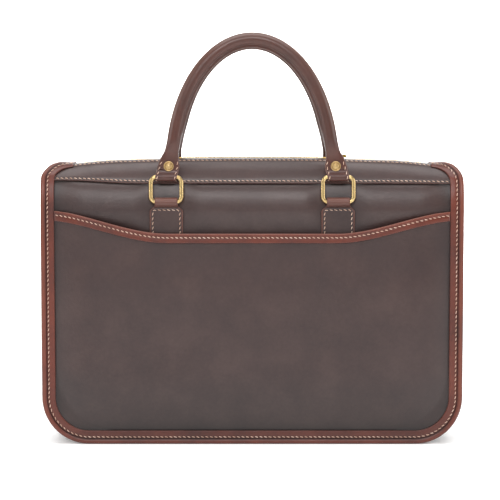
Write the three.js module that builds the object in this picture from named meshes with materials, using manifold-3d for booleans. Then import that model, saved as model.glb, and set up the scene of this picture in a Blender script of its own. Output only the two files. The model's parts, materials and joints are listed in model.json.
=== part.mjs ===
// A leather document case with a zip top, a front pocket and two rolled handles.
// Millimetres, +Z up, the front faces -Y, +X is the viewer's right. It stands on Z = 0.

import * as THREE from 'three';
import { mergeVertices } from 'three/addons/utils/BufferGeometryUtils.js';
import Module from 'manifold-3d';

const wasm = await Module();
wasm.setup();

// Overall form
const caseWidth = 400;          // across the outer edges of the bindings
const roofHeight = 266;         // floor to the top edge at the zip's ends
const roofCrown = 3.5;          // how much higher the zip runs in the middle
const bodyDepth = 62;           // front panel to back panel
const bottomRadius = 45;        // rounding of the two lower corners
const shoulderRise = 44;        // height over which the faces lean back to the top
const roofFlat = 4.5;           // level stretch beside the zip
const zipSlot = 9;              // between the edges of the two top strips
const topCornerReach = 30;      // how far the top corners draw in towards the zip's ends
const topCornerRun = 31;        // length of leather over which they draw in

// Leather and clearances
const gap = 0.3;                // between neighbouring pieces
const panelLeather = 1.8;
const stripLeather = 1.8;
const pocketLeather = 1.8;
const gussetLeather = 1.6;
const chapeLeather = 1.8;       // one leaf of a ring tab
const handleLeather = 1.9;      // the loop of a handle end round its ring
const foldLeather = 1.4;        // the binding strips

// Edge binding: an outer roll and a flat inner band
const bandWidth = 13;
const rollWidth = 5;
const rollRise = 2.2;           // how far the roll stands above the layers it binds
const rollWrap = 4.6;           // how far it reaches back over the gusset
const roofEase = 0.4;           // looser fit of the band where the leather bends over the roof

// Seam and pocket
const topStripWidth = 31.5;     // seam to zip, along the leather
const seamLap = 10;             // panel tucked under the top strip
const panelBulge = 1.2;
const pocketBulge = 9;
const bulgeRun = 60;            // distance over which a face swells from its edge
const mouthDrop = 22.2;         // start of the shoulders down to the middle of the pocket's mouth
const mouthRise = 23;           // how much higher its ends are
const mouthFlat = 160;          // length of its level middle
const lipWidth = 8.8;           // the binding strip over the mouth
const gussetBow = 5;            // how far the sides fold in at mid-depth

// Zip
const tapeWidth = 17;
const tapeThickness = 0.9;
const teethWidth = 5.2;
const teethHeight = 2.6;
const sliderLength = 19;
const sliderWidth = 7;
const sliderHeight = 3;

// Rings, tabs, rivets and handles
const ringSpacing = 162;        // centre to centre of the two rings on one side
const ringWire = 3.8;
const ringWidth = 32.6;
const ringHeight = 27.6;
const ringCorner = 4.6;         // bend radius of the wire's centre line
const ringBarRise = 9;          // start of the shoulders up to the ring's lower bar
const wireClearance = 0.7;      // round the lower bar in its tab
const barClearance = 0.6;       // round the upper bar in the handle's loop
const tabNeckWidth = 22.3;
const tabWidth = 31.3;
const tabDrop = 4;              // ring's lower bar down to the tab's wide part
const neckLap = 9;              // how far the loop's leaves run down over the wide part
const tabTuck = 18;             // how far the tab runs down behind the pocket
const tabThickness = 3;
const handleEndWidth = 22;
const handleEndThickness = 5.2;
const handleRoll = 12.5;        // diameter of the rolled grip
const handleRise = 159.2;       // ring's lower bar to the top of the grip, straight up
const handleBend = 33.5;        // ring's lower bar to the centre of the arch, along the handle
const handleSpread = 152;       // between the roll's centre lines where the arch begins
const handleLean = 2.5;         // degrees that each handle leans in from upright
const rivetAbove = 10;          // ring's upper bar to the rivet
const rivetInset = 2.6;         // rivet towards the middle from the ring's centre
const rivetCap = 9.5;
const rivetShaft = 4;
const rivetDome = 1.1;
const rivetRim = 0.9;

const halfWidth = caseWidth / 2;
const halfDepth = bodyDepth / 2;
const shoulderStart = roofHeight - shoulderRise;
const shoulderReach = halfDepth - roofFlat - zipSlot / 2;
const mouthHeight = shoulderStart - mouthDrop;
const ringBarHeight = shoulderStart + ringBarRise;
const tabTop = ringBarHeight - tabDrop;

// Closed solids from rows of points

// Joins closed loops of points into one solid. capFaces are triangles over one loop, wound as it runs.
function loft(loops, capFaces, closed = false) {
  const count = loops[0].length;
  const faces = [];
  const spans = closed ? loops.length : loops.length - 1;
  for (let i = 0; i < spans; i++) {
    const here = i * count;
    const next = ((i + 1) % loops.length) * count;
    for (let j = 0; j < count; j++) {
      const k = (j + 1) % count;
      faces.push(here + j, here + k, next + k, here + j, next + k, next + j);
    }
  }
  if (!closed) {
    const last = (loops.length - 1) * count;
    for (const [a, b, c] of capFaces) {
      faces.push(a, c, b);
      faces.push(last + a, last + b, last + c);
    }
  }
  return solidFrom(loops.flat(), faces);
}

// Turns the faces outward if they point in
function solidFrom(points, faces) {
  let volume = 0;
  for (let i = 0; i < faces.length; i += 3) {
    const [a, b, c] = [points[faces[i]], points[faces[i + 1]], points[faces[i + 2]]];
    volume += a.dot(new THREE.Vector3().crossVectors(b, c));
  }
  const geometry = new THREE.BufferGeometry().setFromPoints(points);
  geometry.setIndex(volume > 0 ? faces : faces.slice().reverse());
  return geometry;
}

// Cap of a flat profile, wound as the profile runs
function profileCap(profile) {
  const area = THREE.ShapeUtils.area(profile);
  return THREE.ShapeUtils.triangulateShape(profile, []).map(([a, b, c]) => {
    const same = THREE.ShapeUtils.area([profile[a], profile[b], profile[c]]) * area > 0;
    return same ? [a, b, c] : [a, c, b];
  });
}

// Cap of a loop that runs along one edge and back along the other
function ladderCap(count) {
  const faces = [];
  const last = 2 * count - 1;
  for (let i = 0; i < count - 1; i++) {
    faces.push([i, i + 1, last - i - 1], [i, last - i - 1, last - i]);
  }
  return faces;
}

// A wall between an outer and an inner row of points at each step
function wall(outerRows, innerRows) {
  const loops = outerRows.map((row, i) => [...row, ...innerRows[i].slice().reverse()]);
  return loft(loops, ladderCap(outerRows[0].length));
}

function toManifold(geometry) {
  const bare = new THREE.BufferGeometry();
  bare.setAttribute('position', geometry.attributes.position);
  bare.setIndex(geometry.index);
  const merged = mergeVertices(bare, 1e-4);
  return new wasm.Manifold(new wasm.Mesh({
    numProp: 3,
    vertProperties: merged.attributes.position.array,
    triVerts: Uint32Array.from(merged.index.array),
  }));
}

function fromManifold(solid) {
  const mesh = solid.getMesh();
  const geometry = new THREE.BufferGeometry();
  geometry.setAttribute('position', new THREE.BufferAttribute(mesh.vertProperties, 3));
  geometry.setIndex(Array.from(mesh.triVerts));
  return geometry;
}

function smooth(value) {
  const t = THREE.MathUtils.clamp(value, 0, 1);
  return t * t * (3 - 2 * t);
}

// The face: x across, s up along the leather, n out of it

// Lengths along the shoulder's quarter ellipse, for turning a length into an angle
const shoulderSteps = 90;
const shoulderLengths = [0];
for (let i = 0; i < shoulderSteps; i++) {
  const angle = ((i + 0.5) / shoulderSteps) * Math.PI / 2;
  const speed = Math.hypot(shoulderReach * Math.sin(angle), shoulderRise * Math.cos(angle));
  shoulderLengths.push(shoulderLengths[i] + speed * Math.PI / 2 / shoulderSteps);
}
const shoulderLength = shoulderLengths[shoulderSteps];
const faceLength = shoulderStart + shoulderLength + roofFlat;
const topCornerStart = faceLength - topCornerRun;
const seamAt = faceLength - topStripWidth;

function shoulderAngle(length) {
  const step = Math.max(1, shoulderLengths.findIndex((reach) => reach >= length));
  const share = (length - shoulderLengths[step - 1]) / (shoulderLengths[step] - shoulderLengths[step - 1]);
  return ((step - 1 + share) / shoulderSteps) * Math.PI / 2;
}

// A point of the front face. The leather is upright, leans back over the shoulder and ends level.
function onFace(x, s, n) {
  let [y, z, normalY, normalZ] = [-halfDepth, s, -1, 0];
  const past = s - shoulderStart;
  if (past > shoulderLength) {
    [y, z, normalY, normalZ] = [-halfDepth + shoulderReach + past - shoulderLength, roofHeight, 0, 1];
  } else if (past > 0) {
    const angle = shoulderAngle(past);
    y = -halfDepth + shoulderReach * (1 - Math.cos(angle));
    z = shoulderStart + shoulderRise * Math.sin(angle);
    const normal = new THREE.Vector2(-Math.cos(angle) / shoulderReach, Math.sin(angle) / shoulderRise).normalize();
    [normalY, normalZ] = [normal.x, normal.y];
  }
  return new THREE.Vector3(x, y + n * normalY, z + n * normalZ + crownAt(x, s));
}

// The roof is highest in the middle of its length
function crownAt(x, s) {
  const zipEnd = halfWidth - topCornerReach;
  const along = 1 - Math.min(1, (x / zipEnd) ** 2);
  return roofCrown * along * smooth((s - seamAt) / (topStripWidth - roofFlat));
}

// Right half of the outline, from the zip's end over the corner, down the side and to the middle
const floorSteps = 2;
function outline() {
  const cornerSteps = 10;
  const sideSteps = 3;
  const bottomSteps = 6;
  const points = [];
  for (let i = 0; i <= cornerSteps; i++) {
    const angle = (1 - i / cornerSteps) * Math.PI / 2;
    points.push(new THREE.Vector2(halfWidth - topCornerReach + topCornerReach * Math.cos(angle),
      topCornerStart + topCornerRun * Math.sin(angle)));
  }
  points.push(new THREE.Vector2(halfWidth, (topCornerStart + shoulderStart) / 2));
  for (let i = 0; i < sideSteps; i++) {
    points.push(new THREE.Vector2(halfWidth, THREE.MathUtils.lerp(shoulderStart, bottomRadius, i / sideSteps)));
  }
  for (let i = 0; i <= bottomSteps; i++) {
    const angle = (i / bottomSteps) * Math.PI / 2;
    points.push(new THREE.Vector2(halfWidth - bottomRadius + bottomRadius * Math.cos(angle),
      bottomRadius - bottomRadius * Math.sin(angle)));
  }
  for (let i = 1; i <= floorSteps; i++) {
    points.push(new THREE.Vector2((halfWidth - bottomRadius) * (1 - i / floorSteps), 0));
  }
  return points;
}

// The outline's outward directions. It ends level at the zip and at the floor.
function outwardDirections(points) {
  return points.map((point, i) => {
    if (i === 0) return new THREE.Vector2(0, 1);
    if (i === points.length - 1) return new THREE.Vector2(0, -1);
    const along = new THREE.Vector2().subVectors(points[i + 1], points[i - 1]).normalize();
    return new THREE.Vector2(-along.y, along.x);
  });
}

const edge = outline();
const outward = outwardDirections(edge);

function insetEdge(inset) {
  return edge.map((point, i) => point.clone().addScaledVector(outward[i], -inset));
}

// Half widths of the face inside the outline, at each level along the leather
function faceRows(inset, levels) {
  const line = insetEdge(inset).slice(0, -floorSteps).reverse();
  return levels.map((s) => {
    const i = Math.max(1, line.findIndex((point) => point.y >= s - 1e-6));
    const share = (s - line[i - 1].y) / (line[i].y - line[i - 1].y);
    return { s, w: THREE.MathUtils.lerp(line[i - 1].x, line[i].x, share) };
  });
}

function spread(low, high, count) {
  return Array.from({ length: count }, (_, i) => THREE.MathUtils.lerp(low, high, i / (count - 1)));
}

// Places across a face: close together beside the binding, where it swells, and even in the middle
function columnsBeside(distances, middle) {
  return (w) => {
    const right = distances.map((distance) => w - distance);
    const reach = right[right.length - 1];
    return [...right.map((x) => -x), ...spread(-reach, reach, middle + 1).slice(1, -1), ...right.slice().reverse()];
  };
}

// A leather wall on the face, between two heights above it
function faceWall(rows, columns, top, thickness) {
  const outer = [];
  const inner = [];
  for (const { s, w, centre = 0, shift = () => 0 } of rows) {
    const outerRow = [];
    const innerRow = [];
    for (const place of columns(w)) {
      const x = centre + place;
      const height = s + shift(x);
      outerRow.push(onFace(x, height, top(x, height)));
      innerRow.push(onFace(x, height, top(x, height) - thickness));
    }
    outer.push(outerRow);
    inner.push(innerRow);
  }
  return wall(outer, inner);
}

// Swell of a face inside its binding: steep at the edge, level in the middle
function swell(x, s) {
  const fromSide = halfWidth - bandWidth - gap - Math.abs(x);
  const fromFloor = s - bandWidth - gap;
  const short = Math.hypot(Math.max(bulgeRun - fromSide, 0), Math.max(bulgeRun - fromFloor, 0));
  const share = THREE.MathUtils.clamp(1 - short / bulgeRun, 0, 1);
  return 1 - (1 - share) ** 2.4;
}

const neckFoot = tabTop - neckLap;     // below this the tab lies flat

function panelRise(x, s) {
  const fromNeck = (neckFoot - gap - s) / (neckFoot / 2);
  return panelBulge * swell(x, s) * smooth(fromNeck);
}

const mouthRun = halfWidth - rollWidth - mouthFlat / 2;   // along each of the mouth's rising ends
function mouthAt(x) {
  return mouthHeight + mouthRise * smooth((Math.abs(x) - mouthFlat / 2) / mouthRun);
}

// Inner face of the pocket. The mouth is held a little closer than the middle.
const mouthHold = 0.78;
function pocketRise(x, s) {
  const hold = mouthHold + (1 - mouthHold) * smooth((mouthHeight - s) / bulgeRun);
  return panelRise(x, s) + gap + pocketBulge * swell(x, s) * hold;
}

const rollCore = 3.4;            // from the outline to the leather that the roll holds
const wallInset = rollCore + gap;
const bandEdge = bandWidth + gap - wallInset;   // from the leather's edge to the binding's inner edge
const layer = gap + stripLeather;

// Levels of the lower face: round the corner, past the binding and up the swell
function lowerLevels(top, upperCount) {
  const corner = bottomRadius - wallInset;
  const bent = [0, 0.022, 0.08].map((share) => wallInset + share * corner);
  const start = bandWidth + gap;
  const swelling = [0, 0.08, 0.2, 0.38, 0.62, 1].map((share) => start + share * bulgeRun);
  return [...bent, ...swelling, ...spread(start + bulgeRun, top, upperCount + 1).slice(1)];
}

function panelSolid() {
  const besideNeck = neckFoot - gap;
  const over = [...spread(shoulderStart, seamAt, 4), ...spread(seamAt, seamAt + seamLap, 4).slice(1)];
  const levels = [...lowerLevels(besideNeck, 4), ...over];
  const swelling = [0, 0.13, 0.42, 1].map((share) => bandEdge + share * bulgeRun);
  const columns = columnsBeside([0, ...swelling], 3);
  return faceWall(faceRows(wallInset, levels), columns, panelRise, panelLeather);
}

function topStripSolid() {
  const levels = spread(seamAt, faceLength - wallInset, 10);
  const zipRow = { s: faceLength, w: halfWidth - topCornerReach - wallInset };
  return faceWall([...faceRows(wallInset, levels), zipRow], (w) => spread(-w, w, 11), () => layer, stripLeather);
}

// Places along the mouth, shared by the pocket and its binding
const mouthShares = [0, 0.05, 0.12, 0.22, 0.35, 0.48, 0.61, 0.76, 0.92];
const mouthPlaces = columnsBeside(mouthShares.map((share) => share * mouthRun), 3);

function pocketSolid() {
  const straightTop = mouthHeight - lipWidth * 2.5;
  const topEdge = foldLeather + gap;
  const lower = faceRows(wallInset, lowerLevels(straightTop, 3));
  const upper = [0.35, 0.65, 1].map((share) => ({
    s: straightTop,
    w: halfWidth - wallInset,
    shift: (x) => (mouthAt(x) - topEdge - straightTop) * share,
  }));
  const columns = (w) => [-w, ...mouthPlaces(w - bandEdge), w];
  return faceWall([...lower, ...upper], columns, (x, s) => pocketRise(x, s) + pocketLeather, pocketLeather);
}

// The mouth's strip is folded over the pocket's edge. Its inner leaf ends before the side bindings.
function lipSolid() {
  const end = halfWidth - bandWidth - gap;
  const innerEnd = end - bandWidth;
  const loops = [];
  let cap;
  for (const x of mouthPlaces(end)) {
    const fade = (Math.abs(x) - innerEnd) / bandWidth;
    const leaf = THREE.MathUtils.lerp(lipWidth - 1, foldLeather + gap / 2, smooth(fade * 2 + 2));
    const tuck = 1 - smooth(fade * 2);
    const front = pocketLeather + gap + foldLeather;
    const sheet = pocketLeather + gap;
    const back = THREE.MathUtils.lerp(sheet - 0.2, -gap, tuck);
    const behind = THREE.MathUtils.lerp(sheet - 0.6, -gap - foldLeather, tuck);
    const profile = [
      [0.5, behind + 0.1], [0, behind + 0.5], [0, front - 0.5], [0.5, front], [lipWidth, front],
      [lipWidth, sheet], [foldLeather, sheet], [foldLeather, back], [leaf, back], [leaf, behind],
    ].map(([depth, n]) => new THREE.Vector2(depth, n));
    cap ??= profileCap(profile);
    loops.push(profile.map(({ x: depth, y: n }) =>
      onFace(x, mouthAt(x) - depth, pocketRise(x, mouthAt(x) - depth) + n)));
  }
  return loft(loops, cap);
}

// Height of what the binding covers: pocket or strip on the front, the bare panel on the lower back
function bindingLayer(s, hasPocket) {
  const below = hasPocket ? layer : layer * smooth((s - (seamAt - 8)) / 6);
  return below + roofEase * smooth((s - seamAt) / seamLap);
}

function bindingSolid(hasPocket) {
  const half = edge.map((point, i) => ({ point, out: outward[i] }));
  const mirrored = half.slice(0, -1).reverse().map(({ point, out }) => ({
    point: new THREE.Vector2(-point.x, point.y),
    out: new THREE.Vector2(-out.x, out.y),
  }));
  const bandMiddle = (bandWidth + rollCore) / 2;
  const loops = [...half, ...mirrored].map(({ point, out }) => {
    const base = bindingLayer(point.y, hasPocket);
    const band = base + gap + foldLeather;
    const top = base + gap + rollRise;
    const back = THREE.MathUtils.lerp(-rollWrap, gap, smooth((point.y - topCornerStart + 6) / 28));
    const profile = [
      [-bandWidth, base + gap], [-bandWidth, band], [-rollWidth - 1.2, band],
      [-rollWidth, band - 0.7], [-rollWidth * 0.8, top - 0.4], [-rollWidth / 2, top], [-rollWidth * 0.15, top - 0.9],
      [0, top - 2.4 * (top / (top + 1))], [0, back + 1], [-1, back], [-rollCore, back], [-rollCore, base + gap], [-bandMiddle, base + gap],
    ].map(([o, n]) => new THREE.Vector2(o, n));
    return {
      profile,
      loop: profile.map(({ x: o, y: n }) => onFace(point.x + out.x * o, point.y + out.y * o, n)),
    };
  });
  return loft(loops.map(({ loop }) => loop), profileCap(loops[0].profile));
}

// One strip round sides and bottom, folding over the roof to the zip's ends
function gussetSolid() {
  const behindPanel = -panelLeather - gap;
  const roofStart = seamAt + seamLap;
  const half = edge.map((point, i) => {
    const overRoof = smooth((point.y - topCornerStart) / topCornerRun);
    const inset = THREE.MathUtils.lerp(wallInset, wallInset + 2.5, overRoof);
    const depth = THREE.MathUtils.lerp(behindPanel, -0.2, smooth((point.y - roofStart) / (faceLength - roofStart)));
    const at = point.clone().addScaledVector(outward[i], -inset);
    const upSide = smooth((point.y - bottomRadius) / (mouthHeight - bottomRadius));
    const fold = upSide * (1 - smooth((point.y - mouthHeight) / (faceLength - topCornerRun - mouthHeight)));
    return { corner: onFace(at.x, at.y, depth), bow: gussetBow * fold };
  });
  const mirrored = half.slice(0, -1).reverse().map(({ corner, bow }) => ({
    corner: new THREE.Vector3(-corner.x, corner.y, corner.z),
    bow,
  }));
  const stations = [...half, ...mirrored];
  const columns = 4;
  const outer = [];
  const inner = [];
  stations.forEach(({ corner, bow }, i) => {
    const before = stations[Math.max(i - 1, 0)].corner;
    const after = stations[Math.min(i + 1, stations.length - 1)].corner;
    const out = new THREE.Vector3(-(after.z - before.z), 0, after.x - before.x).normalize();
    const outerRow = [];
    for (let j = 0; j <= columns; j++) {
      const across = 2 * j / columns - 1;
      const point = new THREE.Vector3(corner.x, -corner.y * across, corner.z);
      outerRow.push(point.addScaledVector(out, -bow * (1 - across * across)));
    }
    outer.push(outerRow);
    inner.push(outerRow.map((point) => point.clone().addScaledVector(out, -gussetLeather)));
  });
  return wall(outer, inner);
}

// Zip: a tape under the strips' edges, teeth on it and a slider
const zipHalf = halfWidth - topCornerReach - wallInset;

function alongZip(width, low, high) {
  const steps = 10;
  const loops = [];
  for (let i = 0; i <= steps; i++) {
    const x = zipHalf * (2 * i / steps - 1);
    const z = roofHeight + crownAt(x, faceLength);
    loops.push([[-1, low], [1, low], [1, high], [-1, high]].map(([side, height]) =>
      new THREE.Vector3(x, side * width / 2, z + height)));
  }
  return loft(loops, [[0, 1, 2], [0, 2, 3]]);
}

const teethTop = gap + teethHeight;

// Slider body with its pull lying down behind it, in one piece
function sliderSolid() {
  const x = ringSpacing / 2;
  const shape = new THREE.Shape([
    [-0.5, 0.4], [-0.45, 0], [0.5, 0], [0.5, 0.7], [0.42, 1], [0.1, 1], [0.02, 0.75], [-0.45, 0.75],
  ].map(([along, up]) => new THREE.Vector2(along * sliderLength, up * sliderHeight)));
  const geometry = new THREE.ExtrudeGeometry(shape, { depth: sliderWidth, bevelEnabled: false });
  geometry.rotateX(Math.PI / 2);
  const lean = crownAt(x - sliderLength / 2, faceLength) - crownAt(x + sliderLength / 2, faceLength);
  geometry.translate(0, sliderWidth / 2, 0);
  geometry.rotateY(Math.atan2(lean, sliderLength));
  const z = roofHeight + crownAt(x, faceLength) + teethTop + gap;
  geometry.translate(x, 0, z);
  return geometry;
}

// Ring tabs

const tabLoop = ringWire / 2 + wireClearance + chapeLeather;
const barOut = gap + tabLoop;    // ring's lower bar in front of the panel

function circleHole(x, y, radius, sides) {
  const hole = new THREE.Path();
  hole.setFromPoints(Array.from({ length: sides }, (_, i) => {
    const angle = (i / sides) * Math.PI * 2;
    return new THREE.Vector2(x + radius * Math.cos(angle), y + radius * Math.sin(angle));
  }));
  return hole;
}

function arcPoints(x, y, radius, from, to, steps) {
  return Array.from({ length: steps + 1 }, (_, i) => {
    const angle = THREE.MathUtils.degToRad(THREE.MathUtils.lerp(from, to, i / steps));
    return new THREE.Vector2(x + radius * Math.cos(angle), y + radius * Math.sin(angle));
  });
}

// Extrudes a profile drawn as (outward, up) along X, centred on x
function acrossX(shape, width, x) {
  const geometry = new THREE.ExtrudeGeometry(shape, { depth: width, bevelEnabled: false });
  geometry.applyMatrix4(new THREE.Matrix4().makeBasis(
    new THREE.Vector3(0, -1, 0), new THREE.Vector3(0, 0, 1), new THREE.Vector3(-1, 0, 0)));
  geometry.translate(x + width / 2, 0, 0);
  return geometry;
}

// A loop round the ring's lower bar, closing to two leaves sewn on the panel
function tabSolid(x) {
  const low = neckFoot;
  const shape = new THREE.Shape([
    new THREE.Vector2(gap, low),
    ...arcPoints(barOut, ringBarHeight, tabLoop, 180, -50, 11),
    new THREE.Vector2(gap + tabThickness, tabTop - tabDrop),
    new THREE.Vector2(gap + tabThickness, low),
  ]);
  shape.holes.push(circleHole(barOut, ringBarHeight, ringWire / 2 + wireClearance, 12));
  const neck = acrossX(shape, tabNeckWidth, x).translate(0, -halfDepth, 0);
  const corner = (tabWidth - tabNeckWidth) / 2;
  const foot = mouthHeight - tabTuck;
  const rows = [
    { s: foot, w: tabWidth / 2 }, { s: mouthHeight - 2, w: tabWidth / 2 }, { s: tabTop - corner, w: tabWidth / 2 },
    { s: tabTop - corner * 0.3, w: tabWidth / 2 - corner * 0.3 }, { s: tabTop, w: tabNeckWidth / 2 },
  ].map((row) => ({ ...row, centre: x }));
  const sewn = faceWall(rows, (w) => spread(-w, w, 5), (px, s) => panelRise(px, s) + gap + tabThickness, tabThickness);
  return fromManifold(toManifold(neck).add(toManifold(sewn)));
}

// Rings, handles and rivets, in the handle's own plane: x across, v up from the ring's lower bar

function ringSolid() {
  const halfSpanX = (ringWidth - ringWire) / 2;
  const halfSpanV = (ringHeight - ringWire) / 2;
  const bends = 3;
  const wireSides = 6;
  const loops = [];
  [[1, 1, 0], [-1, 1, 90], [-1, -1, 180], [1, -1, 270]].forEach(([sideX, sideV, start]) => {
    for (let i = 0; i <= bends; i++) {
      const angle = THREE.MathUtils.degToRad(start + 90 * i / bends);
      const [across, up] = [Math.cos(angle), Math.sin(angle)];
      const cx = sideX * (halfSpanX - ringCorner) + ringCorner * across;
      const cv = sideV * (halfSpanV - ringCorner) + ringCorner * up + halfSpanV;
      loops.push(Array.from({ length: wireSides }, (_, k) => {
        const turn = ((k + 0.5) / wireSides) * Math.PI * 2;
        const out = Math.cos(turn) * ringWire / 2;
        return new THREE.Vector3(cx + out * across, Math.sin(turn) * ringWire / 2, cv + out * up);
      }));
    }
  });
  return loft(loops, [], true);
}

const handleBarOut = halfDepth + barOut;
const lean = THREE.MathUtils.degToRad(handleLean);
const gripReach = (handleRise - handleRoll / 2) / Math.cos(lean);
const upperBar = ringHeight - ringWire;
const rivetUp = upperBar + rivetAbove;
const rivetOut = ringSpacing / 2 - rivetInset;

// Centre line and section of the right half of a handle, from the ring up to the top
function handleStations() {
  const flare = handleEndWidth / 2;
  const flat = handleEndThickness / 2;
  const roll = handleRoll / 2;
  const archHalf = handleSpread / 2;
  const archRise = gripReach - handleBend;
  const ends = [
    { x: ringSpacing / 2 - 1.4, v: upperBar + 5.5, across: flare, through: flat, square: 4 },
    { x: rivetOut, v: rivetUp, across: flare, through: flat, square: 4 },
    { x: rivetOut - 0.8, v: rivetUp + rivetCap / 2 + 1, across: flare, through: flat, square: 4 },
  ];
  const arch = [5.5, 8, 11, 16, 25, 35, 45, 56, 67, 79, 90].map((degrees) => {
    const angle = THREE.MathUtils.degToRad(degrees);
    const narrow = smooth((degrees - 1.5) / 11);
    return {
      x: archHalf * Math.cos(angle) + (1 - narrow) * (rivetOut - archHalf) * 0.6,
      v: handleBend + archRise * Math.sin(angle),
      across: THREE.MathUtils.lerp(flare, roll, narrow),
      through: THREE.MathUtils.lerp(flat, roll, narrow),
      square: THREE.MathUtils.lerp(4, 2, narrow),
    };
  });
  return [...ends, ...arch];
}

function handleSolid() {
  const half = handleStations();
  const stations = [...half, ...half.slice(0, -1).reverse().map((station) => ({ ...station, x: -station.x }))];
  const sides = 10;
  const loops = stations.map(({ x, v, across, through, square }, i) => {
    const before = stations[Math.max(i - 1, 0)];
    const after = stations[Math.min(i + 1, stations.length - 1)];
    const along = new THREE.Vector2(after.x - before.x, after.v - before.v).normalize();
    return Array.from({ length: sides }, (_, k) => {
      const turn = ((k + 0.5) / sides) * Math.PI * 2;
      const [cos, sin] = [Math.cos(turn), Math.sin(turn)];
      const a = across * Math.sign(cos) * Math.abs(cos) ** (2 / square);
      const t = through * Math.sign(sin) * Math.abs(sin) ** (2 / square);
      return new THREE.Vector3(x - along.y * a, t, v + along.x * a);
    });
  });
  const cap = Array.from({ length: sides - 2 }, (_, k) => [0, k + 1, k + 2]);
  let handle = toManifold(loft(loops, cap));
  const hole = ringWire / 2 + barClearance;
  const loopRadius = hole + handleLeather;
  const flat = handleEndThickness / 2;
  for (const side of [-1, 1]) {
    const shape = new THREE.Shape([
      ...arcPoints(0, upperBar, loopRadius, 180, 360, 8),
      new THREE.Vector2(flat, upperBar + hole + handleLeather + 2),
      new THREE.Vector2(-flat, upperBar + hole + handleLeather + 2),
    ]);
    shape.holes.push(circleHole(0, upperBar, hole, 12));
    handle = handle.add(toManifold(acrossX(shape, handleEndWidth, side * ringSpacing / 2)));
    const drill = new THREE.CylinderGeometry(rivetShaft / 2 + gap, rivetShaft / 2 + gap, handleRoll * 2, 12);
    drill.translate(side * rivetOut, 0, rivetUp);
    handle = handle.subtract(toManifold(drill));
  }
  return fromManifold(handle);
}

// A rivet through the handle's end: domed cap in front, shaft, flat washer behind
function rivetSolid() {
  const seat = handleEndThickness / 2 + gap;
  const cap = rivetCap / 2;
  const profile = [
    [0, -seat - rivetRim], [cap - 0.4, -seat - rivetRim], [cap - 0.4, -seat], [rivetShaft / 2, -seat],
    [rivetShaft / 2, seat], [cap, seat], [cap, seat + rivetRim], [cap * 0.78, seat + rivetRim + 0.4],
    [cap * 0.62, seat + rivetRim], [0, seat + rivetRim + rivetDome],
  ].map(([r, t]) => new THREE.Vector2(r, t));
  const geometry = new THREE.LatheGeometry(profile, 10);
  geometry.rotateX(Math.PI);
  return geometry;
}

// Finishes, and the assembly

const finishes = {
  panel: { color: 0x55464a, roughness: 0.5, metalness: 0 },
  binding: { color: 0x7a4a40, roughness: 0.45, metalness: 0 },
  handle: { color: 0x5e3e37, roughness: 0.42, metalness: 0 },
  tape: { color: 0x3a2c28, roughness: 0.9, metalness: 0 },
  brass: { color: 0xb08d57, roughness: 0.3, metalness: 1 },
};

function piece(name, geometry, finish) {
  const mesh = new THREE.Mesh(geometry, new THREE.MeshStandardMaterial(finishes[finish]));
  mesh.name = name;
  return mesh;
}

// One side of the case with its handle. The back is the same side turned round.
function sideOf(word, hasPocket) {
  const side = new THREE.Group();
  side.add(piece(`${word}_panel`, panelSolid(), 'panel'));
  side.add(piece(`${word}_top_strip`, topStripSolid(), 'panel'));
  side.add(piece(`${word}_binding`, bindingSolid(hasPocket), 'binding'));
  const handle = new THREE.Group();
  handle.position.set(0, -handleBarOut, ringBarHeight);
  handle.rotation.x = -lean;
  handle.add(piece(`${word}_handle`, handleSolid(), 'handle'));
  for (const [at, seen] of [[-1, hasPocket ? 'left' : 'right'], [1, hasPocket ? 'right' : 'left']]) {
    side.add(piece(`${word}_${seen}_tab`, tabSolid(at * ringSpacing / 2), 'panel'));
    const ring = piece(`${word}_${seen}_ring`, ringSolid(), 'brass');
    ring.position.x = at * ringSpacing / 2;
    const rivet = piece(`${word}_${seen}_rivet`, rivetSolid(), 'brass');
    rivet.position.set(at * rivetOut, 0, rivetUp);
    handle.add(ring, rivet);
  }
  side.add(handle);
  return side;
}

const documentCase = new THREE.Group();
documentCase.add(sideOf('front', true));
const back = sideOf('back', false);
back.rotation.z = Math.PI;
documentCase.add(back);
documentCase.add(piece('front_pocket', pocketSolid(), 'panel'));
documentCase.add(piece('pocket_binding', lipSolid(), 'binding'));
documentCase.add(piece('gusset', gussetSolid(), 'panel'));
documentCase.add(piece('zip_tape', alongZip(tapeWidth, -tapeThickness, 0), 'tape'));
documentCase.add(piece('zip_teeth', alongZip(teethWidth, gap, teethTop), 'brass'));
documentCase.add(piece('zip_slider', sliderSolid(), 'brass'));

// The pocket makes the front deeper than the back, so the case is moved to centre its box
documentCase.updateMatrixWorld(true);
const box = new THREE.Box3().setFromObject(documentCase, true);
documentCase.position.y = -(box.min.y + box.max.y) / 2;

export default documentCase;
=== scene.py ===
# %% [markdown]
# # A leather document case
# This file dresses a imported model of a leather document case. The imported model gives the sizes, the
# hinges and the brass rings and rivets. Everything soft is made again here as fine surfaces, each one
# worked out with numpy from a few sizes, and each material is built from nodes.

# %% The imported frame
import json

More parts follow.
